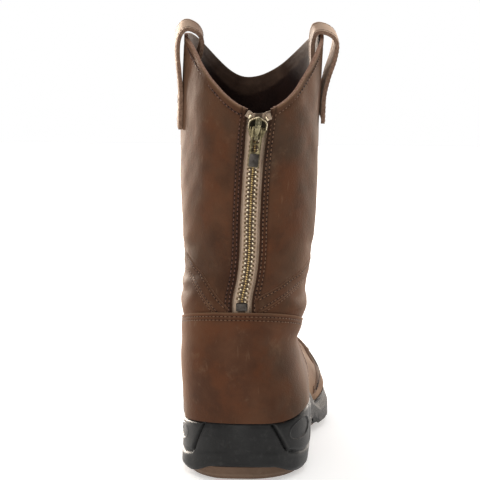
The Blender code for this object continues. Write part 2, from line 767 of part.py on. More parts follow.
def outsole_thick(y):
    return lerp(OUTSOLE_HEEL, OUTSOLE_TOE, smooth(y / BOOT_LENGTH))


def plan(angle, outset):
    """The rim ring seen from above, moved out by outset."""
    point = skin(angle, RIM)
    ahead = skin(angle + STEP_ANGLE, RIM) - skin(angle - STEP_ANGLE, RIM)
    away = Vector((ahead.y, -ahead.x, 0.0)).normalized()
    return point + away * outset


def pod_rise(y):
    """How far the pods swell out of the cup's side at the length y."""
    for pod in PODS:
        if pod.from_y < y < pod.to_y:
            return POD_RISE * math.sin(math.pi * (y - pod.from_y) / (pod.to_y - pod.from_y)) ** 0.6
    return 0.0


def ring_angles(count):
    return [2 * math.pi * k / count for k in range(count)]


def outsole():
    rings = []
    for row in OUTSOLE_ROWS:
        ring = []
        for angle in ring_angles(SOLE_COLUMNS):
            point = plan(angle, row.outset)
            point.z = tread_height(point.y) + row.share * outsole_thick(point.y)
            ring.append(point)
        rings.append(ring)
    made = stack("outsole", rings, "outsole_rubber")
    for k, y in enumerate(GROOVES_Y):
        centre = place((inflare_at(y), y, tread_height(y) - GROOVE_DEPTH / 2.0))
        size = Vector((GROOVE_LENGTH, GROOVE_WIDTH, 3.0 * GROOVE_DEPTH)) * MM
        boolean(made, box_cutter("groove_%d" % k, centre, size), "DIFFERENCE")


def midsole():
    rings = []
    angles = ring_angles(SOLE_COLUMNS)
    rim_points = []
    for angle in angles:
        rim = skin(angle, RIM)
        fade = smooth((rim.y - CUP_END_Y + RIM_FADE) / RIM_FADE)
        seat = skin(angle, 0.0).z + GAP / 2.0
        rim_points.append((fade, lerp(rim_height(angle) - GAP, seat, fade)))
    for row in MIDSOLE_ROWS:
        ring = []
        for angle, (fade, top) in zip(angles, rim_points):
            outset = row.outset + row.pod * pod_rise(skin(angle, RIM).y)
            point = plan(angle, lerp(outset, CUP_OUTSET + min(row.outset, 0.0), fade))
            base = tread_height(point.y) + outsole_thick(point.y) + GAP
            lip = LIP_DROP * smooth((abs(point.x) - LIP_FROM_X) / LIP_RUN_X)
            lip *= smooth((LIP_END_Y - point.y) / LIP_RUN_Y)
            point.z = lerp(base, top, row.share) - row.lip * lip
            ring.append(point)
        rings.append(ring)
    for share in INNER_SHARES:
        ring = []
        for angle, (fade, top) in zip(angles, rim_points):
            v = ring_at_height(angle, top) * share
            point = skin_off(angle, v, SEAT_CLEAR)
            point.z = skin(angle, v).z if share else skin(angle, 0.0).z - GAP
            ring.append(point)
        rings.append(ring)
    stack("midsole", rings, "midsole_rubber")


def toe_guard():
    start = angle_at_y(RIM, GUARD_FROM_Y)
    rows = []
    for share in GUARD_SHARES:
        row = []
        for c in range(GUARD_COLUMNS + 1):
            angle = lerp(start, 2 * math.pi - start, c / GUARD_COLUMNS)
            rim = skin(angle, RIM)
            foot = tread_height(rim.y) + GUARD_FOOT
            z = lerp(foot, table_value(GUARD_TOP, rim.y), share)
            point = skin_off(angle, max(ring_at_height(angle, z), RIM), GUARD_GAP)
            if z < rim.z:
                point = plan(angle, GUARD_GAP if share else GUARD_GAP - GUARD_TUCK)
            point.z = z
            row.append(point)
        rows.append(row)
    sheet("toe_guard", rows, "midsole_rubber", GUARD_THICK, 1.0)


def insole():
    rings = []
    for lift in (GAP, GAP + INSOLE_THICK):
        ring = []
        for angle in ring_angles(INSOLE_COLUMNS):
            edge = skin(angle, 0.0)
            ahead = skin(angle + STEP_ANGLE, 0.0) - skin(angle - STEP_ANGLE, 0.0)
            away = Vector((ahead.y, -ahead.x, 0.0)).normalized()
            point = edge - away * INSOLE_INSET
            point.z = edge.z - GAP + lift
            ring.append(point)
        rings.append(ring)
    stack("insole", rings, "footbed")


def main():
    clear_scene()
    outsole()
    midsole()
    toe_guard()
    insole()
    upper()
    heel_counter()
    ankle_band()
    moc_seam()
    pull_strap("pull_strap_lateral", "lateral")
    pull_strap("pull_strap_medial", "medial")
    zip_tape()
    zip_chain()
    zip_bottom_stop()
    zip_slider()
    zip_pull_tab()


main()
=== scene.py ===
import math

import bpy
import numpy as np
from mathutils import Matrix, Vector


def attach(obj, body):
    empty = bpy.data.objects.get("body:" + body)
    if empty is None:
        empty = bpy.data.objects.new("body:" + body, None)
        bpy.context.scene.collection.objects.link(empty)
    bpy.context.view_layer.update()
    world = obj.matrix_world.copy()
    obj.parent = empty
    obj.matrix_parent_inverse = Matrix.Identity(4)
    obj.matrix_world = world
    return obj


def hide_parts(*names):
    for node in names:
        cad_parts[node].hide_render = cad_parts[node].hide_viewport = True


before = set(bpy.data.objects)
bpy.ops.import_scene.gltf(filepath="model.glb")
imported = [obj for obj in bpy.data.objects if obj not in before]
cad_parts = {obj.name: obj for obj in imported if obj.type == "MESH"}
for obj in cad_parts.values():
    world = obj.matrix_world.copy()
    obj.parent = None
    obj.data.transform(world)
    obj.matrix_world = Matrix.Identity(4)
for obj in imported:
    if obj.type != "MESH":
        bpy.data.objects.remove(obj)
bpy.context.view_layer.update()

mm = 0.001
fullTurn = 2.0 * math.pi

# The last that the solids are cut from, in millimetres: rings from the feather edge to the collar
last = {
    "treadY": 48.0,              # the row frame's origin, from the back of the heel
    "heelAt": 0.14,
    "waistAt": 0.42,
    "ballAt": 0.64,
    "toeSquare": 2.3,
    "medialToe": 0.56,
    "inflare": 21.0,
    "inflareStart": 60.0,
    "inflareRun": 246.0,
    "inflarePower": 2.9,
    "rim": 1.0,
    "innerLift": 5.4,            # the collar stands higher on the inner side of its front
    "innerLiftRing": 12.0,
    "columns": "backY backZ sideZ frontY frontZ heel waist ball backRound frontRound inflare centreX twist "
               "outerWaist outerBall",
    "rings": (
        (7.0, 29.0, 19.0, 297.0, 25.0, 36.0, 33.0, 47.0, 0.135, 0.44, 1.00, 0.0, 0.0, 0.0, 0.0),
        (3.5, 39.5, 29.0, 301.0, 36.0, 39.3, 36.5, 49.5, 0.140, 0.45, 1.00, 0.0, 0.0, 0.0, 0.0),
        (2.4, 50.0, 40.5, 299.5, 47.0, 39.8, 37.0, 46.5, 0.140, 0.47, 1.05, -0.2, 0.0, 0.5, -3.6),
        (2.6, 61.0, 52.0, 290.0, 58.0, 39.6, 36.0, 38.0, 0.150, 0.50, 1.20, -1.4, 0.0, 1.6, -3.0),
        (3.5, 71.0, 63.0, 272.0, 67.0, 38.8, 34.2, 30.5, 0.160, 0.53, 1.40, -3.2, 0.0, 1.6, -1.5),
        (5.0, 81.0, 74.5, 249.0, 75.5, 38.0, 32.8, 26.5, 0.180, 0.54, 1.50, -4.6, 0.1, 1.0, 0.0),
        (6.5, 91.0, 86.5, 226.0, 85.0, 36.9, 32.0, 27.0, 0.200, 0.52, 1.35, -5.5, 0.4, 0.5, 0.0),
        (8.0, 101.0, 98.5, 203.0, 96.5, 40.2, 37.0, 33.1, 0.250, 0.56, 0.90, -4.3, 1.1, 0.0, 0.0),
        (9.2, 111.0, 110.5, 181.0, 110.0, 43.5, 41.9, 39.2, 0.300, 0.58, 0.40, -3.9, 1.9, 0.0, 0.0),
        (10.2, 122.0, 122.0, 163.0, 124.0, 42.1, 41.7, 40.4, 0.360, 0.58, 0.15, -4.1, 2.6, 0.0, 0.0),
        (10.5, 135.0, 135.5, 151.0, 139.0, 42.1, 42.1, 42.1, 0.420, 0.57, 0.00, -2.0, 3.3, 0.0, 0.0),
        (10.2, 152.0, 152.5, 144.5, 157.0, 44.2, 44.2, 44.2, 0.470, 0.53, 0.00, -1.0, 4.2, 0.0, 0.0),
        (8.8, 178.0, 179.0, 142.5, 182.0, 46.1, 46.1, 46.1, 0.500, 0.50, 0.00, -0.8, 4.8, 0.0, 0.0),
        (6.8, 207.0, 212.0, 143.5, 211.0, 46.2, 46.2, 46.2, 0.500, 0.50, 0.00, -0.2, 5.6, 0.0, 0.0),
        (4.8, 231.0, 253.0, 145.5, 236.0, 46.4, 46.4, 46.4, 0.500, 0.50, 0.00, 1.0, 6.4, 0.0, 0.0),
        (3.4, 248.0, 291.0, 147.5, 254.0, 46.4, 46.4, 46.4, 0.500, 0.50, 0.00, 2.8, 6.6, 0.0, 0.0),
    ),
}
ringNames = last["columns"].split()
ringTable = np.array(last["rings"])
collar = float(len(ringTable) - 1)


def smooth(x):
    x = np.clip(x, 0.0, 1.0)
    return x * x * (3.0 - 2.0 * x)


def between(a, b, share):
    return a + (b - a) * share


def bell(distance, width):
    return np.exp(-(distance / width) ** 2)


def curveRows(table, v):
    top = len(table) - 1
    low = np.clip(np.floor(v).astype(int), 0, top - 1)
    s = (v - low)[..., None]
    before, start, end, after = (table[np.clip(low + k, 0, top)] for k in (-1, 0, 1, 2))
    s2 = s * s
    s3 = s2 * s
    return ((2 * s3 - 3 * s2 + 1) * start + (s3 - 2 * s2 + s) * (end - before) / 2
            + (3 * s2 - 2 * s3) * end + (s3 - s2) * (after - start) / 2)


def ringAt(v):
    rows = curveRows(ringTable, np.asarray(v, float))
    return dict(zip(ringNames, np.moveaxis(rows, -1, 0)))


def ringHalf(ring, t, side):
    heelShare = smooth((t - last["heelAt"]) / (last["waistAt"] - last["heelAt"]))
    ballShare = smooth((t - last["waistAt"]) / (last["ballAt"] - last["waistAt"]))
    outer = np.where(side > 0.0, 1.0, 0.0)
    waist = ring["waist"] + outer * ring["outerWaist"]
    ball = ring["ball"] + outer * ring["outerBall"]
    width = between(ring["heel"], waist, heelShare)
    width = np.where(t < last["waistAt"], width, between(waist, ball, ballShare))
    back = np.clip(1.0 - t / ring["backRound"], 0.0, 1.0)
    width = width * np.sqrt(1.0 - back ** 2)
    medial = between(1.0, last["medialToe"], np.minimum(ring["inflare"], 1.0))
    toe = ring["frontRound"] * np.where(side < 0.0, medial, 1.0)
    front = np.clip((t - 1.0 + toe) / toe, 0.0, 1.0)
    square = between(2.0, last["toeSquare"], ring["inflare"])
    return width * (1.0 - front ** square) ** (1.0 / square)


def inflareAt(y):
    share = np.clip((y - last["inflareStart"]) / last["inflareRun"], 0.0, 1.0)
    return -last["inflare"] * share ** last["inflarePower"]


def skin(angle, v):
    angle, v = np.broadcast_arrays(np.asarray(angle, float), np.asarray(v, float))
    ring = ringAt(v)
    t = (1.0 - np.cos(angle)) / 2.0
    side = np.where(np.sin(angle) >= 0.0, 1.0, -1.0)
    y = between(ring["backY"], ring["frontY"], t)
    x = side * ringHalf(ring, t, side)
    middle = (ring["backY"] + ring["frontY"]) / 2.0
    turn = np.radians(ring["twist"])
    ahead = y - middle
    turnedX = x * np.cos(turn) - ahead * np.sin(turn)
    turnedY = x * np.sin(turn) + ahead * np.cos(turn)
    z = (ring["backZ"] * (1 - t) * (1 - 2 * t) + ring["sideZ"] * 4 * t * (1 - t)
         + ring["frontZ"] * t * (2 * t - 1))
    inner = (np.sin(angle) < 0.0) & (np.cos(angle) < 0.0)
    lift = smooth((v - last["innerLiftRing"]) / (collar - last["innerLiftRing"])) * np.sin(2.0 * angle) ** 2
    z = z + np.where(inner, last["innerLift"] * lift, 0.0)
    turnedX = turnedX + ring["centreX"] + ring["inflare"] * inflareAt(y)
    return np.stack((turnedX, turnedY + middle, z), -1)


def unit(vectors):
    return vectors / np.maximum(np.linalg.norm(vectors, axis=-1, keepdims=True), 1e-9)


def skinNormal(angle, v):
    v = np.clip(v, 0.01, collar - 0.01)
    around = skin(angle + 0.002, v) - skin(angle - 0.002, v)
    up = skin(angle, v + 0.01) - skin(angle, v - 0.01)
    return unit(np.cross(around, up))


def skinOff(angle, v, out):
    angle, v, out = np.broadcast_arrays(np.asarray(angle, float), v, out)
    return skin(angle, v) + skinNormal(angle, v) * out[..., None]


def ringAtHeight(angle, z):
    angle, z = np.broadcast_arrays(np.asarray(angle, float), np.asarray(z, float))
    low = np.zeros(angle.shape)
    high = np.full(angle.shape, collar)
    for step in range(32):
        middle = (low + high) / 2.0
        below = skin(angle, middle)[..., 2] < z
        low = np.where(below, middle, low)
        high = np.where(below, high, middle)
    return (low + high) / 2.0


def angleAtY(v, y):
    ring = ringAt(v)
    t = (y - ring["backY"]) / (ring["frontY"] - ring["backY"])
    return np.arccos(np.clip(1.0 - 2.0 * t, -1.0, 1.0))


def backAngle(v, half):      # angle of a point half millimetres beside the back line
    ring = ringAt(v)
    return half / ring["heel"] * np.sqrt(2.0 * ring["backRound"])


def backHalf(angle, v):      # the reverse of backAngle, signed, lateral first
    ring = ringAt(v)
    signed = np.where(angle > math.pi, angle - fullTurn, angle)
    return signed * ring["heel"] / np.sqrt(2.0 * ring["backRound"])


rimLift = {"rise": 10.0, "fromY": 6.0, "run": 38.0, "endY": 126.0, "fall": 44.0}


def rimHeight(angle):        # top of the sole's cup, which climbs along the outer side of the heel
    rim = skin(angle, last["rim"])
    climb = smooth((rim[..., 1] - rimLift["fromY"]) / rimLift["run"])
    climb = climb * smooth((rimLift["endY"] - rim[..., 1]) / rimLift["fall"])
    return rim[..., 2] + np.where(np.sin(angle) > 0.0, rimLift["rise"] * climb, 0.0)


def place(points):           # millimetres from the heel's back to metres in the row frame
    return (np.asarray(points, float) - (0.0, last["treadY"], 0.0)) * mm


def ripple(points, size, seed):      # gentle uneven swell, about -1 to 1
    draw = np.random.default_rng(seed)
    total = 0.0
    for wave in range(5):
        way = unit(draw.normal(size=3)) * draw.uniform(0.6, 1.5)
        total = total + np.sin(points @ way * fullTurn / size + draw.uniform(0.0, fullTurn))
    return total / 2.6


# Working on meshes
def activate(piece):
    if bpy.context.object and bpy.context.object.mode != "OBJECT":
        bpy.ops.object.mode_set(mode="OBJECT")
    bpy.ops.object.select_all(action="DESELECT")
    if piece:
        piece.select_set(True)
        bpy.context.view_layer.objects.active = piece


def coordinates(piece):
    flat = np.empty(len(piece.data.vertices) * 3)
    piece.data.vertices.foreach_get("co", flat)
    return flat.reshape(-1, 3)


def setCoordinates(piece, points):
    piece.data.vertices.foreach_set("co", np.ascontiguousarray(points, float).ravel())
    piece.data.update()


def gridPiece(name, columns, rows, finishes):
    activate(None)
    bpy.ops.mesh.primitive_grid_add(x_subdivisions=columns, y_subdivisions=rows, size=2.0)
    piece = bpy.context.object
    piece.name = name
    piece.data.name = name
    for finish in finishes:
        piece.data.materials.append(finish)
    flat = (coordinates(piece) + 1.0) / 2.0
    return piece, flat[:, 0], flat[:, 1]


def paint(piece, name, values):      # a value on each vertex for the finishes to read
    layer = piece.data.attributes.new(name, "FLOAT", "POINT")
    flat = np.broadcast_to(np.asarray(values, np.float32), (len(piece.data.vertices),))
    layer.data.foreach_set("value", np.ascontiguousarray(flat))


def modify(piece, kind, **settings):
    activate(piece)
    modifier = piece.modifiers.new(kind.lower(), kind)
    for key, value in settings.items():
        setattr(modifier, key, value)
    bpy.ops.object.modifier_apply(modifier=modifier.name)


def faceOut(piece):
    activate(piece)
    bpy.ops.object.mode_set(mode="EDIT")
    bpy.ops.mesh.select_all(action="SELECT")
    bpy.ops.mesh.normals_make_consistent(inside=False)
    bpy.ops.object.mode_set(mode="OBJECT")


def weld(piece, close=False):
    activate(piece)
    bpy.ops.object.mode_set(mode="EDIT")
    bpy.ops.mesh.select_all(action="SELECT")
    bpy.ops.mesh.remove_doubles(threshold=0.000004)
    if close:
        bpy.ops.mesh.fill_holes(sides=0)
    bpy.ops.object.mode_set(mode="OBJECT")
    if close:
        faceOut(piece)


def thicken(piece, thick, side, inner=0, rim=0):
    modify(piece, "SOLIDIFY", thickness=thick * mm, offset=side, use_quality_normals=True,
           material_offset=inner, material_offset_rim=rim)


def roundEdges(piece, width, segments=2, angle=45.0):
    modify(piece, "BEVEL", width=width * mm, segments=segments, limit_method="ANGLE",
           angle_limit=math.radians(angle), harden_normals=False)


def settle(piece, body, slotName, *nodes, angle=50.0):
    activate(piece)
    bpy.ops.object.shade_smooth_by_angle(angle=math.radians(angle))
    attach(piece, body)
    if nodes:
        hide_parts(*nodes)
    print("made", piece.name, len(piece.data.polygons), "faces")
    return piece


def joinPieces(name, parts):
    activate(parts[0])
    for part in parts:
        part.select_set(True)
    bpy.ops.object.join()
    made = bpy.context.object
    made.name = name
    made.data.name = name
    return made


def copies(name, sample, placed):    # one piece from the placed corners of each copy of a sample
    loops = [list(face.vertices) for face in sample.data.polygons]
    kinds = [face.material_index for face in sample.data.polygons]
    looks = list(sample.data.materials)
    bpy.data.objects.remove(sample, do_unlink=True)
    corners = np.concatenate(placed).tolist()
    each = len(placed[0])
    mesh = bpy.data.meshes.new(name)
    faces = [[k * each + i for i in loop] for k in range(len(placed)) for loop in loops]
    mesh.from_pydata(corners, [], faces)
    for look in looks:
        mesh.materials.append(look)
    mesh.polygons.foreach_set("material_index", kinds * len(placed))
    piece = bpy.data.objects.new(name, mesh)
    bpy.context.scene.collection.objects.link(piece)
    return piece


def moveMesh(piece, matrix):
    piece.data.transform(matrix)
    piece.data.update()


# Finishes: a Wire wraps one socket, and an expression on wires adds Math nodes
class Wire:
    def __init__(self, tree, socket=None):
        self.tree = tree
        self.socket = socket

    def node(self, kind, settings, sockets, out=0):
        made = self.tree.nodes.new(kind)
        for key, value in settings.items():
            setattr(made, key, value)
        for key, value in sockets.items():
            socket = next(s for s in made.inputs if key in (s.identifier, s.name))
            if isinstance(value, Wire):
                self.tree.links.new(value.socket, socket)
            else:
                socket.default_value = value
        return Wire(self.tree, made.outputs[out])

    def sum(self, operation, first, second):
        return self.node("ShaderNodeMath", {"operation": operation}, {"Value": first, "Value_001": second})

    def __add__(self, other):
        return self.sum("ADD", self, other)

    def __radd__(self, other):
        return self.sum("ADD", other, self)

    def __sub__(self, other):
        return self.sum("SUBTRACT", self, other)

    def __rsub__(self, other):
        return self.sum("SUBTRACT", other, self)

    def __mul__(self, other):
        return self.sum("MULTIPLY", self, other)

    def __rmul__(self, other):
        return self.sum("MULTIPLY", other, self)

    def ease(self, low, high):       # 0 below low, 1 above high
        return self.node("ShaderNodeMapRange", {"interpolation_type": "SMOOTHSTEP"},
                         {"Value": self, "From Min": low, "From Max": high})


def startFinish(name, fixed):
    material = bpy.data.materials.new(name)
    material.use_nodes = True
    shader = material.node_tree.nodes["Principled BSDF"]
    for key, value in fixed.items():
        shader.inputs[key].default_value = value
    at = Wire(material.node_tree).node("ShaderNodeTexCoord", {}, {}, "Object")
    return material, at


def endFinish(material, colour, roughness=None, height=None, depth=0.0002, strength=1.0, metallic=None):
    tree = material.node_tree
    shader = tree.nodes["Principled BSDF"]
    wires = {"Base Color": colour, "Roughness": roughness, "Metallic": metallic}
    if height:
        wires["Normal"] = height.node("ShaderNodeBump", {},
                                      {"Height": height, "Distance": depth, "Strength": strength})
    for key, wire in wires.items():
        if wire:
            tree.links.new(wire.socket, shader.inputs[key])
    return material


def noise(at, scale, detail=2.0, rough=0.5, stretch=None, shift=None):
    if stretch or shift:
        at = at.node("ShaderNodeMapping", {}, {"Vector": at, "Scale": stretch or (1.0, 1.0, 1.0),
                                               "Location": shift or (0.0, 0.0, 0.0)})
    return at.node("ShaderNodeTexNoise", {},
                   {"Vector": at, "Scale": scale, "Detail": detail, "Roughness": rough})


def cells(at, scale, randomness=1.0):
    return at.node("ShaderNodeTexVoronoi", {"feature": "F1"},
                   {"Vector": at, "Scale": scale, "Randomness": randomness})


def waves(at, scale, direction, distortion=0.0):
    return at.node("ShaderNodeTexWave", {"bands_direction": direction},
                   {"Vector": at, "Scale": scale, "Distortion": distortion})


def tint(share, under, over):        # a colour or wire over another, by share
    under, over = (c if isinstance(c, Wire) else (*c, 1.0) for c in (under, over))
    return share.node("ShaderNodeMix", {"data_type": "RGBA"},
                      {"Factor_Float": share, "A_Color": under, "B_Color": over}, 2)


def painted(at, name):
    return at.node("ShaderNodeAttribute", {"attribute_name": name}, {}, "Fac")


leatherLook = {
    "deep": (0.056, 0.025, 0.014),
    "brown": (0.111, 0.050, 0.026),
    "red": (0.125, 0.045, 0.020),
    "dusk": (0.066, 0.046, 0.031),
    "pale": (0.300, 0.185, 0.110),
    # painted shade: the dark colour laid into stitch grooves, gaps and hollows
    "seam": (0.026, 0.011, 0.006),
    "gloss": 0.5,
    "sheen": 0.16,               # the oiled nap glows at the edges
    "sheenTint": (1.0, 0.68, 0.46, 1.0),
}


def oiledLeather(name, paleShare=0.2, duskShare=0.6, **own):
    look = {**leatherLook, **own}
    material, at = startFinish(name, {"Specular IOR Level": 0.06, "Sheen Weight": look["sheen"],
                                      "Sheen Tint": look["sheenTint"], "Sheen Roughness": 0.45})
    cloud = noise(at, 19.0, 4.0, 0.55).ease(0.34, 0.66)
    blotch = noise(at, 34.0, 5.0, 0.6, shift=(0.3, 0.1, 0.7)).ease(0.45, 0.68)
    smoke = noise(at, 13.0, 4.0, 0.6, shift=(0.9, 0.4, 0.2)).ease(0.47, 0.7)
    rubbed = noise(at, 62.0, 8.0, 0.68, shift=(0.2, 0.8, 0.5)).ease(0.56, 0.76)
    scratch = noise(at, 260.0, 3.0, 0.6, stretch=(1.0, 1.0, 0.16)).ease(0.64, 0.74)
    pore = cells(at, 820.0)
    colour = tint(cloud, look["deep"], look["brown"])
    colour = tint(blotch * 0.7, colour, look["red"])
    colour = tint(smoke * duskShare, colour, look["dusk"])
    colour = tint(rubbed * paleShare + scratch * 0.16, colour, look["pale"])
    # the pale mark holds real wear and painted highlights
    colour = tint(painted(at, "wearAndHighlight"), colour, look["pale"])
    # painted shade in grooves and gaps
    colour = tint(painted(at, "seam"), colour, look["seam"])
    height = (pore * 0.45 + noise(at, 420.0, 3.0, 0.6) * 0.5 + noise(at, 120.0, 3.0, 0.55) * 1.1
              - scratch * 0.18)
    roughness = look["gloss"] + noise(at, 40.0, 3.0, 0.6) * 0.2 - rubbed * 0.06
    return endFinish(material, colour, roughness, height, 0.00034, 0.55)


def rawEdge(name, light, dark):
    material, at = startFinish(name, {"Specular IOR Level": 0.25})
    fibre = noise(at, 900.0, 4.0, 0.7)
    colour = tint(fibre.ease(0.3, 0.7), dark, light)
    return endFinish(material, colour, 0.68 + fibre * 0.2, fibre, 0.0002)


def liningLook(name):
    material, at = startFinish(name, {"Specular IOR Level": 0.25})
    weave = waves(at, 420.0, "X") + waves(at, 420.0, "Z")
    soft = noise(at, 40.0, 4.0, 0.6)
    cloth = tint(soft.ease(0.3, 0.7), (0.016, 0.006, 0.004), (0.034, 0.013, 0.008))
    facing = tint(noise(at, 70.0, 5.0, 0.6).ease(0.35, 0.7), (0.076, 0.042, 0.028),
                  (0.132, 0.080, 0.054))
    colour = tint(painted(at, "facing"), cloth, facing)
    colour = tint(painted(at, "wearAndHighlight") * 0.5, colour, leatherLook["pale"])
    return endFinish(material, colour, 0.62 + soft * 0.25, weave * 0.4 + noise(at, 500.0, 3.0), 0.0002)


def threadLook(name, dark, light):
    material, at = startFinish(name, {"Specular IOR Level": 0.35, "Sheen Weight": 0.1})
    strand = noise(at, 900.0, 2.0)
    colour = tint(strand.ease(0.35, 0.65), dark, light)
    return endFinish(material, colour, 0.5 + strand * 0.2, strand, 0.00015)


def mouldedRubber(name, base, dustAndHighlight, speckle, gloss=0.36, depth=0.0001):
    material, at = startFinish(name, {"Specular IOR Level": 0.22})
    cloud = noise(at, 30.0, 5.0, 0.6)
    dust = noise(at, 150.0, 6.0, 0.7).ease(0.5, 0.8)
    grain = noise(at, 1500.0, 2.0)
    colour = tint(cloud.ease(0.35, 0.7), base, speckle)
    # the pale colour holds real dust and wear and painted highlights on ridges
    colour = tint(dust * 0.25 + painted(at, "wearAndHighlight") * 0.75, colour, dustAndHighlight)
    # painted shade in grooves, gaps and at the guard's ends
    colour = tint(painted(at, "seam"), colour, (0.004, 0.004, 0.004))
    return endFinish(material, colour, gloss + cloud * 0.14 + dust * 0.1, grain + dust * 0.4, depth)


def wovenTape(name):
    material, at = startFinish(name, {"Specular IOR Level": 0.2, "Sheen Weight": 0.2})
    uv = at.node("ShaderNodeTexCoord", {}, {}, "UV")
    along = uv.node("ShaderNodeMapping", {}, {"Vector": uv, "Scale": (1.0, 6.0, 1.0)})
    rib = waves(along, 9.0, "X", 0.3)
    twill = waves(along, 7.0, "DIAGONAL", 0.4)
    soil = noise(at, 90.0, 5.0, 0.65)
    colour = tint(soil.ease(0.35, 0.75), (0.60, 0.46, 0.34), (0.44, 0.32, 0.225))
    colour = tint(rib * 0.22, colour, (0.30, 0.195, 0.12))
    # painted shade behind the teeth and under the folded leather edge
    colour = tint(painted(at, "seam"), colour, (0.035, 0.020, 0.011))
    return endFinish(material, colour, 0.82 + soil * 0.1, rib * 0.6 + twill * 0.4, 0.00025)


def agedMetal(name, bright, dull, stain, gloss):
    material, at = startFinish(name, {"Metallic": 1.0})
    patina = noise(at, 320.0, 5.0, 0.65)
    spot = noise(at, 900.0, 3.0, 0.6)
    colour = tint(patina.ease(0.4, 0.66), bright, dull)
    colour = tint(spot.ease(0.55, 0.75) * 0.5, colour, stain)
    colour = tint(painted(at, "wearAndHighlight") * 0.8, colour, bright)
    return endFinish(material, colour, gloss + patina * 0.22, spot, 0.00006)


def footbedCloth(name):
    material, at = startFinish(name, {"Specular IOR Level": 0.2})
    weave = waves(at, 300.0, "X") * waves(at, 300.0, "Y")
    colour = tint(weave, (0.035, 0.032, 0.030), (0.085, 0.078, 0.070))
    return endFinish(material, colour, 0.85 + weave * 0.1, weave, 0.0002)


finishes = {
    "leather": oiledLeather("oiledLeather"),
    # a lighter copy of the upper's leather: painted light on the heel counter
    "heel": oiledLeather("litHeelLeather", 0.22, 0.75, deep=(0.074, 0.032, 0.018),
                         brown=(0.142, 0.064, 0.034), dusk=(0.082, 0.060, 0.043)),
    # its pale colour is also the painted highlight on the loop tops
    "strap": oiledLeather("strapLeather", 0.4, 0.15, pale=(0.66, 0.475, 0.350)),
    "edge": rawEdge("cutEdge", (0.42, 0.250, 0.175), (0.20, 0.100, 0.062)),
    "strapEdge": rawEdge("strapCutEdge", (0.34, 0.215, 0.150), (0.15, 0.085, 0.055)),
    "lining": liningLook("lining"),
    "brownThread": threadLook("brownThread", (0.125, 0.057, 0.029), (0.235, 0.125, 0.068)),
    # a darker copy of the brown thread: painted shade on the inner side's rows and in the counter's front
    # grooves
    "shadedThread": threadLook("shadedThread", (0.075, 0.027, 0.016), (0.165, 0.076, 0.050)),
    "mocThread": threadLook("mocThread", (0.020, 0.010, 0.007), (0.060, 0.032, 0.022)),
    "cupRubber": mouldedRubber("cupRubber", (0.010, 0.010, 0.010), (0.10, 0.10, 0.095),
                               (0.019, 0.019, 0.019)),
    "guardRubber": mouldedRubber("guardRubber", (0.026, 0.025, 0.025), (0.22, 0.21, 0.195),
                                 (0.050, 0.048, 0.046), 0.45, 0.0006),
    "treadRubber": mouldedRubber("treadRubber", (0.160, 0.097, 0.062), (0.32, 0.23, 0.165),
                                 (0.125, 0.076, 0.049), 0.5),
    "tape": wovenTape("wovenTape"),
    "brass": agedMetal("agedBrass", (0.60, 0.43, 0.19), (0.34, 0.22, 0.09),
                       (0.10, 0.060, 0.025), 0.26),
    # a bright copy of the brass: painted highlight on tooth beads, the slider's rim and the top stop clips
    "highlightBrass": agedMetal("highlightBrass", (0.88, 0.77, 0.57), (0.62, 0.50, 0.33),
                           (0.34, 0.25, 0.15), 0.2),
    # a dark copy of the brass: painted shade on the tooth legs
    "shadedBrass": agedMetal("shadedBrass", (0.20, 0.135, 0.075), (0.11, 0.070, 0.036),
                          (0.04, 0.024, 0.012), 0.36),
    "olive": agedMetal("oliveBrass", (0.21, 0.175, 0.10), (0.085, 0.070, 0.038),
                       (0.035, 0.028, 0.017), 0.24),
    "stemBrass": agedMetal("stemBrass", (0.36, 0.32, 0.20), (0.19, 0.165, 0.095),
                           (0.09, 0.075, 0.042), 0.22),
    "gunmetal": agedMetal("gunmetal", (0.085, 0.075, 0.068), (0.048, 0.042, 0.037),
                          (0.028, 0.024, 0.02), 0.36),
    # a near-black metal standing in for the shadow inside the slider's windows
    "shadeMetal": agedMetal("paintedShadeMetal", (0.030, 0.026, 0.018), (0.018, 0.015, 0.010),
                      (0.010, 0.008, 0.006), 0.55),
    # near-black marks between stitches: painted shade in the needle holes
    "holeShade": rawEdge("holeShade", (0.016, 0.007, 0.004), (0.007, 0.003, 0.002)),
    "footbed": footbedCloth("footbedCloth"),
}
print("finishes made", len(finishes))

# Stitches: each row is laid along the skin, then all of one thread are copied from one stitch
stitch = {"length": 2.0, "pitch": 2.9, "width": 0.7, "height": 0.6, "sink": 0.08, "hole": (1.0, 0.95, 0.26)}
threadRows = {"brownThread": [], "shadedThread": [], "mocThread": [], "holeShade": []}


def stitchRow(thread, points, normals, pitch=stitch["pitch"], length=stitch["length"], fat=1.0, turn=0.0):
    steps = np.linalg.norm(np.diff(points, axis=0), axis=1)
    walked = np.concatenate(([0.0], np.cumsum(steps)))
    count = max(1, int(walked[-1] / pitch))
    pitch = walked[-1] / count
    centres = (np.arange(count) + 0.5) * pitch

    def at(distance, values):
        return np.stack([np.interp(distance, walked, values[:, k]) for k in range(3)], -1)

    def lay(yarn, distance, size, lean):
        middle = at(distance, points)
        along = unit(at(distance + 0.3 * pitch, points) - at(distance - 0.3 * pitch, points))
        away = unit(at(distance, normals))
        across = unit(np.cross(away, along))
        along = along * math.cos(lean) + across * math.sin(lean)
        threadRows[yarn].append((middle, along, np.cross(away, along), away, np.array(size) / 2.0))

    lay(thread, centres, (length, stitch["width"] * fat, stitch["height"] * fat), turn)
    # a dark mark between stitches: painted shade in the needle hole
    lay("holeShade", centres + pitch / 2.0, np.array(stitch["hole"]) * fat, turn)


def skinStitches(thread, angle, v, out, **how):
    stitchRow(thread, skinOff(angle, v, out - stitch["sink"]), skinNormal(angle, v), **how)


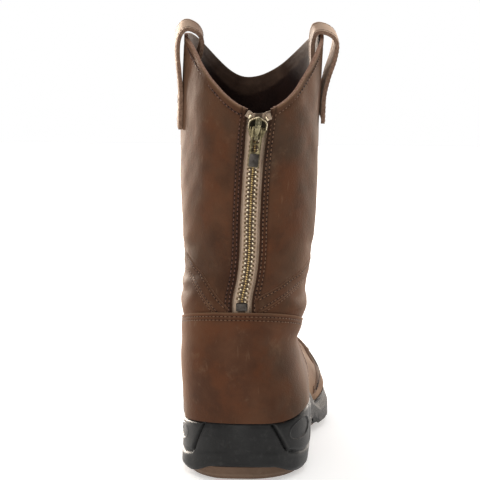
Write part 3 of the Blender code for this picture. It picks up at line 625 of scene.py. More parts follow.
def sewThreads():
    for thread, rows in threadRows.items():
        activate(None)
        bpy.ops.mesh.primitive_uv_sphere_add(segments=7, ring_count=5, radius=1.0)
        sample = bpy.context.object
        sample.data.materials.append(finishes[thread])
        corners = coordinates(sample)[:, (2, 0, 1)]
        placed = []
        for middle, along, across, away, size in rows:
            for k in range(len(middle)):
                axes = np.stack((along[k] * size[0], across[k] * size[1], away[k] * size[2]))
                placed.append(place(middle[k] + corners @ axes))
        piece = copies(thread + "Stitches", sample, placed)
        faceOut(piece)
        settle(piece, "boot", None)


# Upper: one leather skin round the last, open at the collar and along the zip
upper = {
    "columns": 250,
    "rows": 210,
    "wall": 2.4,
    "crowd": 0.55,               # columns crowd towards the zip
    "slotHalf": 6.7,
    "slotFlare": 0.8,
    "flareFrom": 210.0,
    "flareTo": 243.0,
    "slotFoot": 110.8,
    "rollWidth": 2.6,            # the folded edge beside the zip
    "rollDrop": 0.8,
    "facing": 12.0,              # leather facing inside the collar
    "zipRows": (8.6, 11.0),      # stitch rows beside the zip
    "zipRowFoot": 113.0,
    "zipRowTop": 244.0,
    "rowFlare": 0.8,             # share of the slot's flare that the rows follow
    "zipCalm": 24.0,             # the leather lies smooth this near the zip
    "collarRow": 7.2,
    "collarRowFrom": 0.28,
    "tanPatch": (168.0, 24.0, 8.0, 5.0),     # rubbed spot above the guard: length, height, half sizes
    "tanFrom": 112.0,            # the outer side of the forefoot is painted lighter from here on, a painted warm highlight
    "tanRun": 36.0,
    "tanRing": 5.4,              # and up to this ring
    "tanFade": 3.2,
    "tanSide": 24.0,             # it fades in from the middle to the outer side
    "tanShare": 0.55,
    "footShare": 0.13,           # the leather is painted lighter below this height, painted light
    "footTop": 118.0,
    "footRun": 30.0,
    # soft folds: angle, height, half span, climb, half width, depth
    "folds": (
        (3.14, 133.0, 0.90, 0.0, 3.4, 1.3),
        (3.14, 119.0, 0.85, 0.0, 3.0, 1.0),
        (3.30, 149.0, 0.70, 6.0, 3.2, 0.8),
        (2.20, 127.0, 0.50, 14.0, 2.8, 0.8),
        (4.10, 129.0, 0.50, -14.0, 2.8, 0.8),
        (1.35, 116.0, 0.55, -8.0, 3.6, 0.5),
        (4.95, 119.0, 0.50, 8.0, 3.2, 0.8),
        (0.80, 130.0, 0.40, -14.0, 3.0, 0.5),
        (5.45, 134.0, 0.40, 12.0, 3.0, 0.6),
        (5.10, 150.0, 0.45, 14.0, 4.0, 0.6),
        (1.15, 152.0, 0.45, -12.0, 4.0, 0.5),
        (5.55, 172.0, 0.40, 10.0, 5.0, 0.45),
        (0.70, 180.0, 0.35, -10.0, 5.0, 0.4),
    ),
    # flexing creases over the toes: length along the boot, half width, depth
    "flexes": ((188.0, 2.6, 0.6), (200.0, 2.8, 0.8), (213.0, 2.6, 0.6), (226.0, 2.4, 0.4)),
}
slotFootRing = float(ringAtHeight(0.0, upper["slotFoot"]))


def slotFlare(height):               # the slot opens towards the collar
    share = smooth((height - upper["flareFrom"]) / (upper["flareTo"] - upper["flareFrom"]))
    return upper["slotFlare"] * share


def slotAngle(v):
    return backAngle(v, upper["slotHalf"] + slotFlare(skin(0.0, v)[..., 2]))


def belowCollar(angle, v):           # millimetres down from the collar along the skin
    return (collar - v) * np.linalg.norm(skin(angle, collar) - skin(angle, collar - 1.0), axis=-1)


def upperRelief(angle, v, point):
    out = 0.55 * ripple(point, 60.0, 3) + 0.22 * ripple(point, 23.0, 5)
    for middle, height, span, climb, width, depth in upper["folds"]:
        across = point[..., 2] - height - climb * (angle - middle)
        fade = bell(angle - middle, span)
        out = out - depth * fade * (bell(across, width) - 0.6 * bell(across - 2.0 * width, width * 1.2))
    onTop = smooth((v - 2.7) / 0.8)
    for length, width, depth in upper["flexes"]:
        across = point[..., 1] - length - 0.004 * (point[..., 0] + 8.0) ** 2
        out = out - depth * onTop * (bell(across, width) - 0.6 * bell(across - 2.2 * width, width * 1.3))
    half = np.abs(backHalf(angle, v))
    above = smooth((v - slotFootRing) / 0.3)
    near = 1.0 - smooth(half / upper["zipCalm"])
    out = out * (1.0 - 0.8 * near * above)
    for row in upper["zipRows"]:
        out = out - 0.28 * above * bell(half - row, 0.8)
    out = out + 0.22 * above * bell(half - sum(upper["zipRows"]) / 2.0, 1.0)
    out = out - 0.3 * bell(belowCollar(angle, v) - upper["collarRow"], 1.0)
    edge = 1.0 - smooth((half - upper["slotHalf"]) / upper["rollWidth"])
    return out - upper["rollDrop"] * edge ** 2 * above


def makeUpper():
    piece, s, t = gridPiece("upperLeather", upper["columns"], upper["rows"],
                            (finishes["leather"], finishes["lining"], finishes["edge"]))
    v = t * collar
    slot = np.where(v < slotFootRing, 0.0, slotAngle(v))
    s = s - upper["crowd"] * np.sin(fullTurn * s) / fullTurn
    angle = between(slot, fullTurn - slot, s)
    point = skin(angle, v)
    points = point + skinNormal(angle, v) * upperRelief(angle, v, point)[:, None]
    setCoordinates(piece, place(points))
    half = np.abs(backHalf(angle, v))
    above = np.where(v < slotFootRing, 0.0, 1.0)
    down = belowCollar(angle, v)
    # painted shade: stitch grooves beside the zip, a darker band out to the rows, the collar row and the
    # folded edge by the zip
    seam = 0.5 * sum(bell(half - row, 0.8) for row in upper["zipRows"]) * above
    seam = seam + 0.28 * above * (1.0 - smooth((half - upper["zipRows"][1]) / 2.4))
    seam = seam + 0.55 * bell(down - upper["collarRow"], 0.8)
    seam = seam + 0.5 * bell(half - upper["slotHalf"] - 0.6, 1.0) * above
    signed = np.abs(np.where(angle > math.pi, angle - fullTurn, angle))
    climb = (v - counterLow(angle)) / (counterHigh(angle) - counterLow(angle))
    ahead = (signed - counterFront(np.clip(climb, 0.0, 1.0))) * counter["perAngle"]
    # painted shadow cast by the counter's front edge on the leather just ahead of it
    seam = seam + 0.8 * bell(ahead - 1.4, 2.0) * (climb < 1.02)
    paint(piece, "seam", np.clip(seam, 0.0, 0.8))
    length, height, longHalf, highHalf = upper["tanPatch"]
    rubbed = bell(point[:, 1] - length, longHalf) * bell(point[:, 2] - height, highHalf)
    # painted warm highlight on the outer side of the forefoot, joined with the rubbed spot above the guard
    vamp = upper["tanShare"] * smooth((point[:, 1] - upper["tanFrom"]) / upper["tanRun"])
    vamp = vamp * smooth((upper["tanRing"] - v) / upper["tanFade"]) * (1.0 + 0.4 * ripple(point, 36.0, 12))
    vamp = np.maximum(vamp, 0.9 * rubbed) * smooth(point[:, 0] / upper["tanSide"])
    # painted light: the leather is lighter below this height
    foot = upper["footShare"] * smooth((upper["footTop"] - point[:, 2]) / upper["footRun"])
    paint(piece, "wearAndHighlight", np.maximum(np.maximum(0.75 * bell(down, 1.7), vamp), foot))
    paint(piece, "facing", 1.0 - smooth((down - upper["facing"]) / 2.0))
    weld(piece)
    thicken(piece, upper["wall"], -1.0, 1, 2)
    roundEdges(piece, 0.5, 2, 60.0)
    settle(piece, "boot", "leather", "upper", angle=60.0)
    height = np.linspace(upper["zipRowFoot"], upper["zipRowTop"], 120)
    ring = ringAtHeight(0.0, height)
    for row in upper["zipRows"]:
        half = row + upper["rowFlare"] * slotFlare(height)
        # the inner side's rows take the darker thread copy, painted shade
        for side, thread in ((1.0, "brownThread"), (-1.0, "shadedThread")):
            skinStitches(thread, side * backAngle(ring, half), ring, 0.0, fat=1.15)
    first = upper["collarRowFrom"]
    # the inner half of the collar row takes the darker thread copy, painted shade
    for thread, start, end in (("brownThread", first, math.pi), ("shadedThread", math.pi, fullTurn - first)):
        around = np.linspace(start, end, 250)
        step = np.linalg.norm(skin(around, collar) - skin(around, collar - 1.0), axis=-1)
        skinStitches(thread, around, collar - upper["collarRow"] / step, 0.0, fat=1.6)


# Overlays: heel counter, ankle band and the moc toe's ridge
counter = {
    "columns": 200,
    "rows": 90,
    "gap": 0.7,
    "thick": 1.6,
    "top": 114.2,
    "fall": 36.0,
    "fallRun": 100.0,
    "fallPower": 1.4,
    "frontFoot": 118.0,
    "frontTop": 94.0,
    "clear": 0.4,                # its lower edge above the rim of the cup
    "skive": (1.2, 0.45),        # its top and front edges are pared down
    "skiveRun": 5.0,
    "seams": (2.6, 5.0),         # stitch rows below the top edge and behind the front edge
    "perAngle": 75.0,            # millimetres along its side for one radian
    "rubRun": 26.0,              # the foot of its outer front is painted pale, a painted warm highlight
    "footShade": 0.32,           # the leather darkens towards the sole
    "footRun": 20.0,
}


def counterHigh(angle):
    topRing = ringAtHeight(0.0, counter["top"])
    y = np.maximum(skin(angle, topRing)[..., 1], 0.0)
    fall = counter["fall"] * (y / counter["fallRun"]) ** counter["fallPower"]
    return ringAtHeight(angle, counter["top"] - fall)


def counterLow(angle):
    return ringAtHeight(angle, rimHeight(angle) + counter["clear"])


def counterFront(share):
    topRing = float(ringAtHeight(0.0, counter["top"]))
    foot = angleAtY(last["rim"], counter["frontFoot"])
    top = angleAtY(topRing, counter["frontTop"])
    return between(foot, top, share)


def counterSwell(point, climb):
    return 0.25 * ripple(point, 46.0, 8) * smooth(climb * 4.0)


def makeCounter():
    piece, s, t = gridPiece("heelCounter", counter["columns"], counter["rows"],
                            (finishes["heel"], finishes["edge"]))
    angle = (2.0 * s - 1.0) * counterFront(t)
    low = counterLow(angle)
    high = counterHigh(angle)
    v = between(low, high, t)
    point = skin(angle, v)
    step = np.linalg.norm(skin(angle, high) - skin(angle, low), axis=-1)
    down = (1.0 - t) * step
    behind = (1.0 - np.abs(2.0 * s - 1.0)) * counterFront(t) * counter["perAngle"]
    topRows, frontRows = (sum(bell(away - row, 0.7) for row in counter["seams"]) for away in (down, behind))
    topCut, frontCut = counter["skive"]
    pared = np.maximum(topCut * bell(down, counter["skiveRun"]),
                       frontCut * bell(behind, counter["skiveRun"]))
    out = counter["gap"] + counterSwell(point, t) - pared - 0.2 * topRows - 0.35 * frontRows
    setCoordinates(piece, place(point + skinNormal(angle, v) * out[:, None]))
    # painted shade in the stitch grooves, and darker towards the sole
    foot = counter["footShade"] * (1.0 - smooth(t * step / counter["footRun"]))
    paint(piece, "seam", np.clip(0.5 * topRows + 0.8 * frontRows + foot, 0.0, 0.8))
    # painted warm highlight at the foot of the outer front
    rubbed = 0.6 * bell(behind, counter["rubRun"]) * (1.0 - smooth(t / 0.6)) * (s > 0.5)
    paint(piece, "wearAndHighlight", np.maximum(rubbed, 0.45 * np.maximum(bell(down, 0.7), bell(behind, 0.7))))
    thicken(piece, counter["thick"], 1.0, 0, 1)
    roundEdges(piece, 0.45, 2, 60.0)
    settle(piece, "boot", "leather", "heel_counter", angle=60.0)
    face = counter["gap"] + counter["thick"] - 0.1
    around = np.linspace(-0.97, 0.97, 300) * counterFront(1.0)
    top = counterHigh(around)
    step = np.linalg.norm(skin(around, top) - skin(around, top - 1.0), axis=-1)
    for row in counter["seams"]:
        ring = top - row / step
        pared = topCut * bell(row, counter["skiveRun"])
        skinStitches("brownThread", around, ring, face - pared + counterSwell(skin(around, ring), 1.0))
    climb = np.linspace(0.05, 0.94, 80)
    for side in (1.0, -1.0):
        for row in counter["seams"]:
            front = side * (counterFront(climb) - row / counter["perAngle"])
            pared = frontCut * bell(row, counter["skiveRun"])
            ring = between(counterLow(front), counterHigh(front), climb)
            out = face - pared + counterSwell(skin(front, ring), climb)
            # the front rows take the darker thread copy, painted shade in the front grooves
            skinStitches("shadedThread", front, ring, out, fat=1.2)


band = {
    "columns": 420,
    "rows": 12,
    "gap": -0.25,
    "thick": 0.9,
    "width": 10.0,
    "lateral": (107.6, 131.8),   # height of its lower edge at the back line and at the side
    "medial": (98.6, 139.5),
    "endsZ": 112.8,              # height at which its two ends meet the zip
    "endsGap": 0.05,
    "frontZ": 156.0,
    "row": 1.9,                  # stitch rows from each of its edges
    "strayRow": -1.3,            # and one more just below it
}


def bandRing(angle, share):
    lateral = np.sin(angle) >= 0.0
    root, side = (np.where(lateral, band["lateral"][k], band["medial"][k]) for k in (0, 1))
    sideways = np.abs(np.sin(angle))
    low = between(np.where(np.cos(angle) > 0.0, root, band["frontZ"]), side, sideways)
    return ringAtHeight(angle, low + band["width"] * share)


def bandAngles(s):
    ends = slotAngle(ringAtHeight(0.0, band["endsZ"])) + band["endsGap"]
    return between(ends, fullTurn - ends, s)


def makeBand():
    piece, s, t = gridPiece("ankleBand", band["columns"], band["rows"],
                            (finishes["leather"], finishes["edge"]))
    angle = bandAngles(s)
    v = bandRing(angle, t)
    point = skin(angle, v)
    fromEdge = np.minimum(t, 1.0 - t) * band["width"]
    out = band["gap"] + upperRelief(angle, v, point)
    out = out - 0.2 * bell(fromEdge - band["row"], 0.7) - 0.3 * bell(fromEdge, 1.0)
    setCoordinates(piece, place(point + skinNormal(angle, v) * out[:, None]))
    # painted shade in the stitch grooves
    paint(piece, "seam", 0.5 * bell(fromEdge - band["row"], 0.7))
    paint(piece, "wearAndHighlight", 0.2 * bell(fromEdge, 0.6))
    thicken(piece, band["thick"], 1.0, 0, 1)
    roundEdges(piece, 0.3, 2, 60.0)
    settle(piece, "boot", "leather", "ankle_band", angle=60.0)
    around = bandAngles(np.linspace(0.008, 0.992, 500))
    face = band["gap"] + band["thick"] - 0.1
    for share, out in ((1.0 - band["row"] / band["width"], face), (band["row"] / band["width"], face),
                       (band["strayRow"] / band["width"], 0.0)):
        ring = bandRing(around, share)
        skinStitches("brownThread", around, ring, out + upperRelief(around, ring, skin(around, ring)))


moc = {
    "columns": 320,
    "rows": 24,
    "gap": 0.25,
    "ring": 2.9,
    "fall": 1.2,                 # rings lost along its two sides
    "fallY": 290.0,
    "fallRun": 110.0,
    "dip": 0.7,                  # and again at its two ends
    "dipRun": 27.0,
    "endY": 156.0,
    "lowShare": 0.3,             # it is lower at its ends than round the toe
    "lowRun": 90.0,
    "half": 0.25,                # half its width, in rings
    "lips": ((0.0, 0.1), (0.12, 0.9), (0.27, 1.8), (0.4, 1.9), (0.5, 1.2), (0.6, 1.9), (0.73, 1.8),
             (0.88, 0.9), (1.0, 0.1)),
    "crest": 1.75,
    "pitch": 3.2,
    "stitch": 3.4,
}


def mocRing(angle):
    y = skin(angle, moc["ring"])[..., 1]
    fall = moc["fall"] * smooth((moc["fallY"] - y) / moc["fallRun"])
    dip = np.clip((moc["endY"] + moc["dipRun"] - y) / moc["dipRun"], 0.0, 1.0)
    return moc["ring"] - fall - moc["dip"] * dip ** 2


def mocRise(angle):
    y = skin(angle, moc["ring"])[..., 1]
    return between(moc["lowShare"], 1.0, smooth((y - moc["endY"]) / moc["lowRun"]))


def makeMoc():
    piece, s, t = gridPiece("mocToeRidge", moc["columns"], moc["rows"],
                            (finishes["leather"], finishes["edge"]))
    end = float(angleAtY(moc["ring"] - moc["fall"] - moc["dip"], moc["endY"]))
    angle = between(end, fullTurn - end, s)
    lips = np.array(moc["lips"])
    taper = smooth(np.minimum(s, 1.0 - s) * 30.0 + 0.15)
    out = moc["gap"] + np.interp(t, lips[:, 0], lips[:, 1]) * taper * mocRise(angle)
    v = mocRing(angle) + (t - 0.5) * 2.0 * moc["half"]
    pucker = 0.25 * np.sin(s * fullTurn * 48.0) * bell(t - 0.3, 0.2)
    point = skin(angle, v)
    lift = np.clip(upperRelief(angle, v, point), -0.4, 0.8)
    setCoordinates(piece, place(point + skinNormal(angle, v) * (out + pucker + lift)[:, None]))
    # painted shade down the ridge's middle groove
    paint(piece, "seam", 0.85 * bell(t - 0.5, 0.08) + 0.4 * bell(t - 0.5, 0.5))
    paint(piece, "wearAndHighlight", 0.35 * (bell(t - 0.33, 0.1) + bell(t - 0.67, 0.1)))
    thicken(piece, 0.5, -1.0, 0, 1)
    settle(piece, "boot", "leather_edge", "moc_seam", angle=60.0)
    around = np.linspace(end + 0.03, fullTurn - end - 0.03, 600)
    skinStitches("mocThread", around, mocRing(around), moc["gap"] + moc["crest"] * mocRise(around),
                 pitch=moc["pitch"], length=moc["stitch"], fat=1.6, turn=math.radians(66.0))


makeUpper()
makeCounter()
makeBand()
makeMoc()

# Pull straps, one looped over each side peak
strap = {
    "columns": 20,
    "rows": 150,
    "thick": 2.6,
    "halfAngle": 0.18,
    "tilt": 0.14,
    "inside": 4.4,
    # share of the path outside and where it starts, share inside, of the height, and a drop
    "fits": {"Lateral": (1.5, 0.0, 0.4, 0.91, 2.8), "Medial": (0.85, 2.0, 1.25, 1.0, 1.0)},
    # height above the peak and distance out from the leather
    "path": ((-60.0, 1.8), (-50.0, 1.8), (-40.0, 1.9), (-27.0, 3.4), (-13.0, 5.8), (-2.0, 6.4), (4.5, 4.2),
             (7.5, -1.0), (4.5, -7.0), (-3.0, -9.6), (-16.0, -7.6), (-30.0, -4.6), (-46.0, -4.4)),
    "row": 2.6,
    "crossRows": (0.035, 0.13, 0.16),    # along the path, where the foot is sewn down
    "innerEnd": 0.97,
    "perAngle": 73.0,            # millimetres across for one radian
    "outsideFrom": 0.62,         # the outer run is paler from this share on
    "outsideRun": 0.12,
    "outsidePale": 0.44,
}


def strapPoint(side, across, along):
    middle = math.pi / 2.0 if side == "Lateral" else 1.5 * math.pi
    path = curveRows(np.array(strap["path"]), along * (len(strap["path"]) - 1.0))
    reach, freeOut, inner, riseShare, drop = strap["fits"][side]
    rise = path[..., 0] * riseShare - drop
    out = np.where(path[..., 1] > freeOut, path[..., 1] * reach, path[..., 1])
    out = np.where(out < -strap["inside"], between(-strap["inside"], out, inner), out)
    angle = middle + (2.0 * across - 1.0) * strap["halfAngle"]
    top = skin(angle, collar)
    peak = skin(middle, collar)
    z = peak[2] + rise + (top[..., 1] - peak[1]) * strap["tilt"]
    base = skin(angle, ringAtHeight(angle, np.minimum(z, top[..., 2])))
    away = skinNormal(angle, collar - 1.0) * (1.0, 1.0, 0.0)
    point = base + unit(away) * out[..., None]
    point[..., 2] = z
    return point


def strapRow(side, across, along):
    across, along = np.broadcast_arrays(across, along)
    step = 1e-3
    line = strapPoint(side, across, along)
    ahead = strapPoint(side, across, along + step) - line
    beside = strapPoint(side, across + step, along) - line
    away = unit(np.cross(ahead, beside))
    outward = line[0] - strapPoint(side, across[:1], np.array([strap["innerEnd"]]))[0]
    if away[0] @ outward < 0.0:
        away = -away
    stitchRow("brownThread", line + away * (strap["thick"] / 2.0), away)


def makeStrap(side):
    piece, s, t = gridPiece("pullStrap" + side, strap["columns"], strap["rows"],
                            (finishes["strap"], finishes["strap"], finishes["strapEdge"]))
    setCoordinates(piece, place(strapPoint(side, 1.0 - s, 1.0 - t)))
    width = 2.0 * strap["halfAngle"] * strap["perAngle"]
    fromEdge = np.minimum(s, 1.0 - s) * width
    # painted highlight over the top of the loop
    onTop = np.maximum(bell(t - 0.5, 0.12), 0.7 * bell(t - 0.66, 0.13))
    outside = smooth((t - strap["outsideFrom"]) / strap["outsideRun"])
    onTop = np.maximum(onTop, strap["outsidePale"] * outside)
    paint(piece, "wearAndHighlight", np.clip(0.3 * bell(fromEdge, 1.2) + 0.9 * onTop, 0.0, 1.0))
    # painted shade in the stitch grooves
    paint(piece, "seam", 0.5 * bell(fromEdge - strap["row"], 0.7))
    thicken(piece, strap["thick"], 0.0, 1, 2)
    roundEdges(piece, 0.5, 2, 60.0)
    settle(piece, "boot", "leather", "pull_strap_" + side.lower(), angle=60.0)
    for across in (strap["row"] / width, 1.0 - strap["row"] / width):
        strapRow(side, across, np.linspace(0.0, 1.0, 400))
    for along in strap["crossRows"]:
        strapRow(side, np.linspace(0.12, 0.88, 40), along)


makeStrap("Lateral")
makeStrap("Medial")

# Zip: tape, teeth, stops, slider and the tab that swings
zipPart = {
    "tapeHalf": 11.5,
    "tapeDepth": 2.85,
    "tapeThick": 0.8,
    "tapeFoot": 108.5,
    "tapeTop": 246.0,
    "pitch": 3.0,
    "chainFoot": 119.5,
    "chainTop": 229.0,
    "firstTooth": 0.7,
    "tapeRise": 1.35,            # the tape stands up between the leather edges
    "chainOut": -1.1,
    "chainShade": 2.0,           # half width of the painted shade behind the teeth
    # parts of a tooth: finish, size, distance from the middle, lift, rounding; the legs take a dark copy of
    # the brass as painted shade, the beads a bright copy as painted highlight
    "tooth": (
        ("shadedBrass", (2.0, 1.5, 1.0), 2.9, -0.25, 0.3),
        ("shadedBrass", (2.6, 0.8, 0.9), 1.2, -0.3, 0.2),
        ("highlightBrass", (1.35, 1.45, 1.2), 2.15, 0.15, 0.5),
        ("brass", (1.3, 1.1, 1.1), 0.1, 0.15, 0.35),
    ),
    "stopSize": (7.6, 5.4, 2.6),
    "stopZ": 116.4,
    "stopOut": -1.2,
    "slitSize": (0.5, 3.4, 1.2),
    "slitReach": 2.2,
    "endsZ": 244.0,              # the tape's two ends fold out beside the top
    "endsOut": -0.6,
    "endsReach": (6.6, 1.0),
    "endsTurn": 0.45,
    "foldSize": (3.4, 4.8, 1.4),
    "clipSize": (1.8, 3.2, 2.2),
    "clipAt": (1.5, -0.8, 0.2),
    "sliderZ": 237.5,
    "pivotOut": 3.5,
}


def zipFrame(z, out):                # X across, Y up along the back, Z out of the leather
    v = np.clip(ringAtHeight(0.0, z), 0.05, collar - 0.05)
    away = skinNormal(0.0, v)
    up = skin(0.0, v + 0.01) - skin(0.0, v - 0.01)
    up = unit(up - away * (up @ away))
    return frameOf(np.cross(up, away), up, away, place(skin(0.0, v)) + away * out * mm)


def frameOf(across, up, away, spot):
    turned = Matrix((across, up, away)).transposed().to_4x4()
    turned.translation = Vector(spot)
    return turned


def hanging(matrix):                 # the same frame, with its Y axis as upright as it can be
    across = matrix.col[0].to_3d()
    up = (Vector((0.0, 0.0, 1.0)) - across * across.z).normalized()
    return frameOf(across, up, across.cross(up), matrix.translation)


def block(size, centre, finish, bevel):
    activate(None)
    bpy.ops.mesh.primitive_cube_add(size=1.0)
    piece = bpy.context.object
    setCoordinates(piece, (coordinates(piece) * size + centre) * mm)
    piece.data.materials.append(finish)
    roundEdges(piece, bevel, 2, 30.0)
    return piece


def mirrored(half):                  # a whole outline from its right half, top to bottom
    return list(half) + [(-x, y) for x, y in reversed(half) if x > 0.0]


def plate(outline, low, high, finish, bevel):
    activate(None)
    bpy.ops.mesh.primitive_circle_add(vertices=len(outline), radius=1.0, fill_type="NGON")
    piece = bpy.context.object
    setCoordinates(piece, np.array([(x, y, low) for x, y in outline]) * mm)
    piece.data.materials.append(finish)
    faceOut(piece)
    up = piece.data.polygons[0].normal.z
    thicken(piece, high - low, 1.0 if up > 0.0 else -1.0)
    if bevel:
        roundEdges(piece, bevel, 2, 30.0)
    return piece


def carve(piece, cutter):
    modify(piece, "BOOLEAN", operation="DIFFERENCE", object=cutter, solver="EXACT")
    bpy.data.objects.remove(cutter, do_unlink=True)


def makeTape():
    piece, s, t = gridPiece("zipTape", 64, 110, (finishes["tape"],))
    v = ringAtHeight(0.0 * t, between(zipPart["tapeFoot"], zipPart["tapeTop"], t))
    half = (2.0 * s - 1.0) * zipPart["tapeHalf"]
    out = -zipPart["tapeDepth"] + 0.3 * bell(np.abs(half) - 3.6, 0.6)
    out = out + zipPart["tapeRise"] * (1.0 - smooth((np.abs(half) - 5.0) / 1.4))
    setCoordinates(piece, place(skinOff(backAngle(v, half), v, out)))
    # painted shade: a dark stripe behind the teeth and a shadow under the folded leather edge
    shade = 0.8 * (1.0 - smooth((np.abs(half) - zipPart["chainShade"]) / 1.2))
    paint(piece, "seam", np.maximum(shade, 0.4 * bell(np.abs(half) - 7.4, 0.8)))
    thicken(piece, zipPart["tapeThick"], -1.0)
    settle(piece, "boot", "tape", "zip_tape")


def makeTeeth():
    tooth = joinPieces("tooth", [block(size, (reach, 0.0, lift), finishes[finish], bevel)
                                 for finish, size, reach, lift, bevel in zipPart["tooth"]])
    corners = coordinates(tooth)
    placed = []
    count = int((zipPart["chainTop"] - zipPart["chainFoot"]) / (zipPart["pitch"] / 2.0))
    for k in range(count):
        height = zipPart["chainFoot"] + zipPart["firstTooth"] + k * zipPart["pitch"] / 2.0
        at = zipFrame(height, zipPart["chainOut"])
        turn = np.array(at @ Matrix.Rotation(math.pi * (k % 2), 4, "Z"))
        placed.append(corners @ turn[:3, :3].T + turn[:3, 3])
    settle(copies("zipTeeth", tooth, placed), "boot", "brass", "zip_chain", angle=40.0)


def makeStops():
    stop = block(zipPart["stopSize"], (0.0, 0.0, 0.0), finishes["gunmetal"], 0.7)
    for x in (-zipPart["slitReach"], zipPart["slitReach"]):
        centre = (x, 0.0, zipPart["stopSize"][2] / 2.0)
        carve(stop, block(zipPart["slitSize"], centre, finishes["gunmetal"], 0.05))
    stop.name = "zipBottomStop"
    moveMesh(stop, zipFrame(zipPart["stopZ"], zipPart["stopOut"]))
    settle(stop, "boot", "dark_brass", "zip_bottom_stop", angle=40.0)
    folds = []
    clips = []
    for side in (1.0, -1.0):
        at = zipFrame(zipPart["endsZ"], zipPart["endsOut"])
        reach, rise = zipPart["endsReach"]
        turn = at @ Matrix.Translation(Vector((side * reach * mm, rise * mm, 0.0)))
        turn = turn @ Matrix.Rotation(side * zipPart["endsTurn"], 4, "Z")
        fold = block(zipPart["foldSize"], (0.0, 0.0, 0.0), finishes["tape"], 0.6)
        moveMesh(fold, turn)
        folds.append(fold)
        inward, up, lift = zipPart["clipAt"]
        # the clips take the bright brass copy, a painted highlight
        clip = block(zipPart["clipSize"], (-side * inward, up, lift), finishes["highlightBrass"], 0.6)
        moveMesh(clip, turn)
        clips.append(clip)
    settle(joinPieces("zipTapeEnds", folds), "boot", "tape", angle=40.0)
    settle(joinPieces("zipTopStops", clips), "boot", "brass", angle=40.0)


slider = {
    "outline": ((0.0, 6.9), (1.6, 6.3), (4.6, 5.0), (6.0, 3.6), (6.3, 1.8), (6.1, -1.6), (5.4, -3.2),
                (4.6, -6.0), (3.6, -7.2)),
    "window": ((1.5, 5.2), (3.9, 4.2), (5.2, 3.0), (5.4, 1.6), (5.2, -1.8), (1.5, -1.8)),
    "plateLow": (-2.4, -1.2),
    "plateHigh": (0.9, 1.8),
    "floorHigh": 1.3,
    "rimTo": 6,                  # the rim, in a bright copy of the brass as a painted highlight, runs round the crown to this point of the outline
    "rimRadius": 0.34,
    "floorShare": 0.93,          # of the outline, for the dark floor inside, a painted shadow in the windows
    "rimShare": 0.97,
    "post": ((2.4, 3.0, 3.6), (0.0, 4.2, -0.4)),     # size and centre
    "wall": ((1.0, 6.0, 3.4), (4.4, -3.0, -0.2)),
    "stem": ((1.2, 6.2), (2.1, 5.0), (2.15, 3.2), (1.8, 1.0), (1.6, -3.0), (1.35, -7.6), (0.8, -9.0)),
    "stemPath": ((-9.0, 2.4), (-7.0, 3.0), (-3.5, 5.0), (0.0, 5.9), (2.6, 5.5), (5.0, 3.4), (6.2, 2.3)),
    "stemThick": 1.2,
    "ridge": 0.45,               # the stem has two soft ridges
}


def tube(path, radius, finish):
    piece, s, t = gridPiece("tube", 8, 6 * len(path), (finish,))
    way = curveRows(np.array(path), t * (len(path) - 1.0))
    ahead = unit(curveRows(np.array(path), np.minimum(t + 0.004, 1.0) * (len(path) - 1.0))
                 - curveRows(np.array(path), np.maximum(t - 0.004, 0.0) * (len(path) - 1.0)))
    away = np.broadcast_to((0.0, 0.0, 1.0), way.shape)
    across = unit(np.cross(ahead, away))
    around = (s * fullTurn)[:, None]
    ends = np.sqrt(np.clip(np.minimum(t, 1.0 - t) * 40.0, 0.02, 1.0))[:, None]
    setCoordinates(piece, (way + (across * np.cos(around) + away * np.sin(around)) * radius * ends) * mm)
    weld(piece, close=True)
    return piece


def makeSlider():
    shell = finishes["olive"]
    low, high = slider["plateHigh"]
    face = plate(mirrored(slider["outline"]), low, high, shell, 0.3)
    for side in (1.0, -1.0):
        outline = [(x * side, y) for x, y in slider["window"]]
        carve(face, plate(outline, low - 1.0, high + 1.0, shell, 0.0))
    back = plate(mirrored(slider["outline"]), *slider["plateLow"], shell, 0.3)
    share = slider["floorShare"]
    # the floor inside the windows is painted shadow
    floor = plate(mirrored([(x * share, y * share) for x, y in slider["outline"]]), low,
                  slider["floorHigh"], finishes["shadeMetal"], 0.0)
    crown = slider["outline"][:slider["rimTo"]]
    crown = [(-x, y) for x, y in crown[:0:-1]] + list(crown)
    share = slider["rimShare"]
    # the rim takes the bright brass copy, a painted highlight
    rim = tube([(x * share, y * share, high) for x, y in crown], slider["rimRadius"], finishes["highlightBrass"])
    post = block(*slider["post"], shell, 0.3)
    size, (x, y, z) = slider["wall"]
    walls = [block(size, (side * x, y, z), shell, 0.3) for side in (-1.0, 1.0)]
    stem = makeStem()
    body = joinPieces("zipSlider", [face, back, floor, rim, post, stem] + walls)
    moveMesh(body, zipFrame(zipPart["sliderZ"], 0.0))
    settle(body, "boot", "dark_brass", "zip_slider", angle=35.0)


def makeStem():
    outline = np.array(slider["stem"])
    path = np.array(slider["stemPath"])
    piece, s, t = gridPiece("sliderStem", 16, 48, (finishes["stemBrass"],))
    y = between(path[0, 0], path[-1, 0], t)
    half = np.interp(y, outline[::-1, 1], outline[::-1, 0])
    across = 2.0 * s - 1.0
    z = np.interp(y, path[:, 0], path[:, 1]) - 0.5 * across ** 4
    z = z + slider["ridge"] * bell(np.abs(across) - 0.5, 0.28)
    setCoordinates(piece, np.stack((half * across, y, z), -1) * mm)
    thicken(piece, slider["stemThick"], -1.0)
    roundEdges(piece, 0.25, 2, 50.0)
    return piece


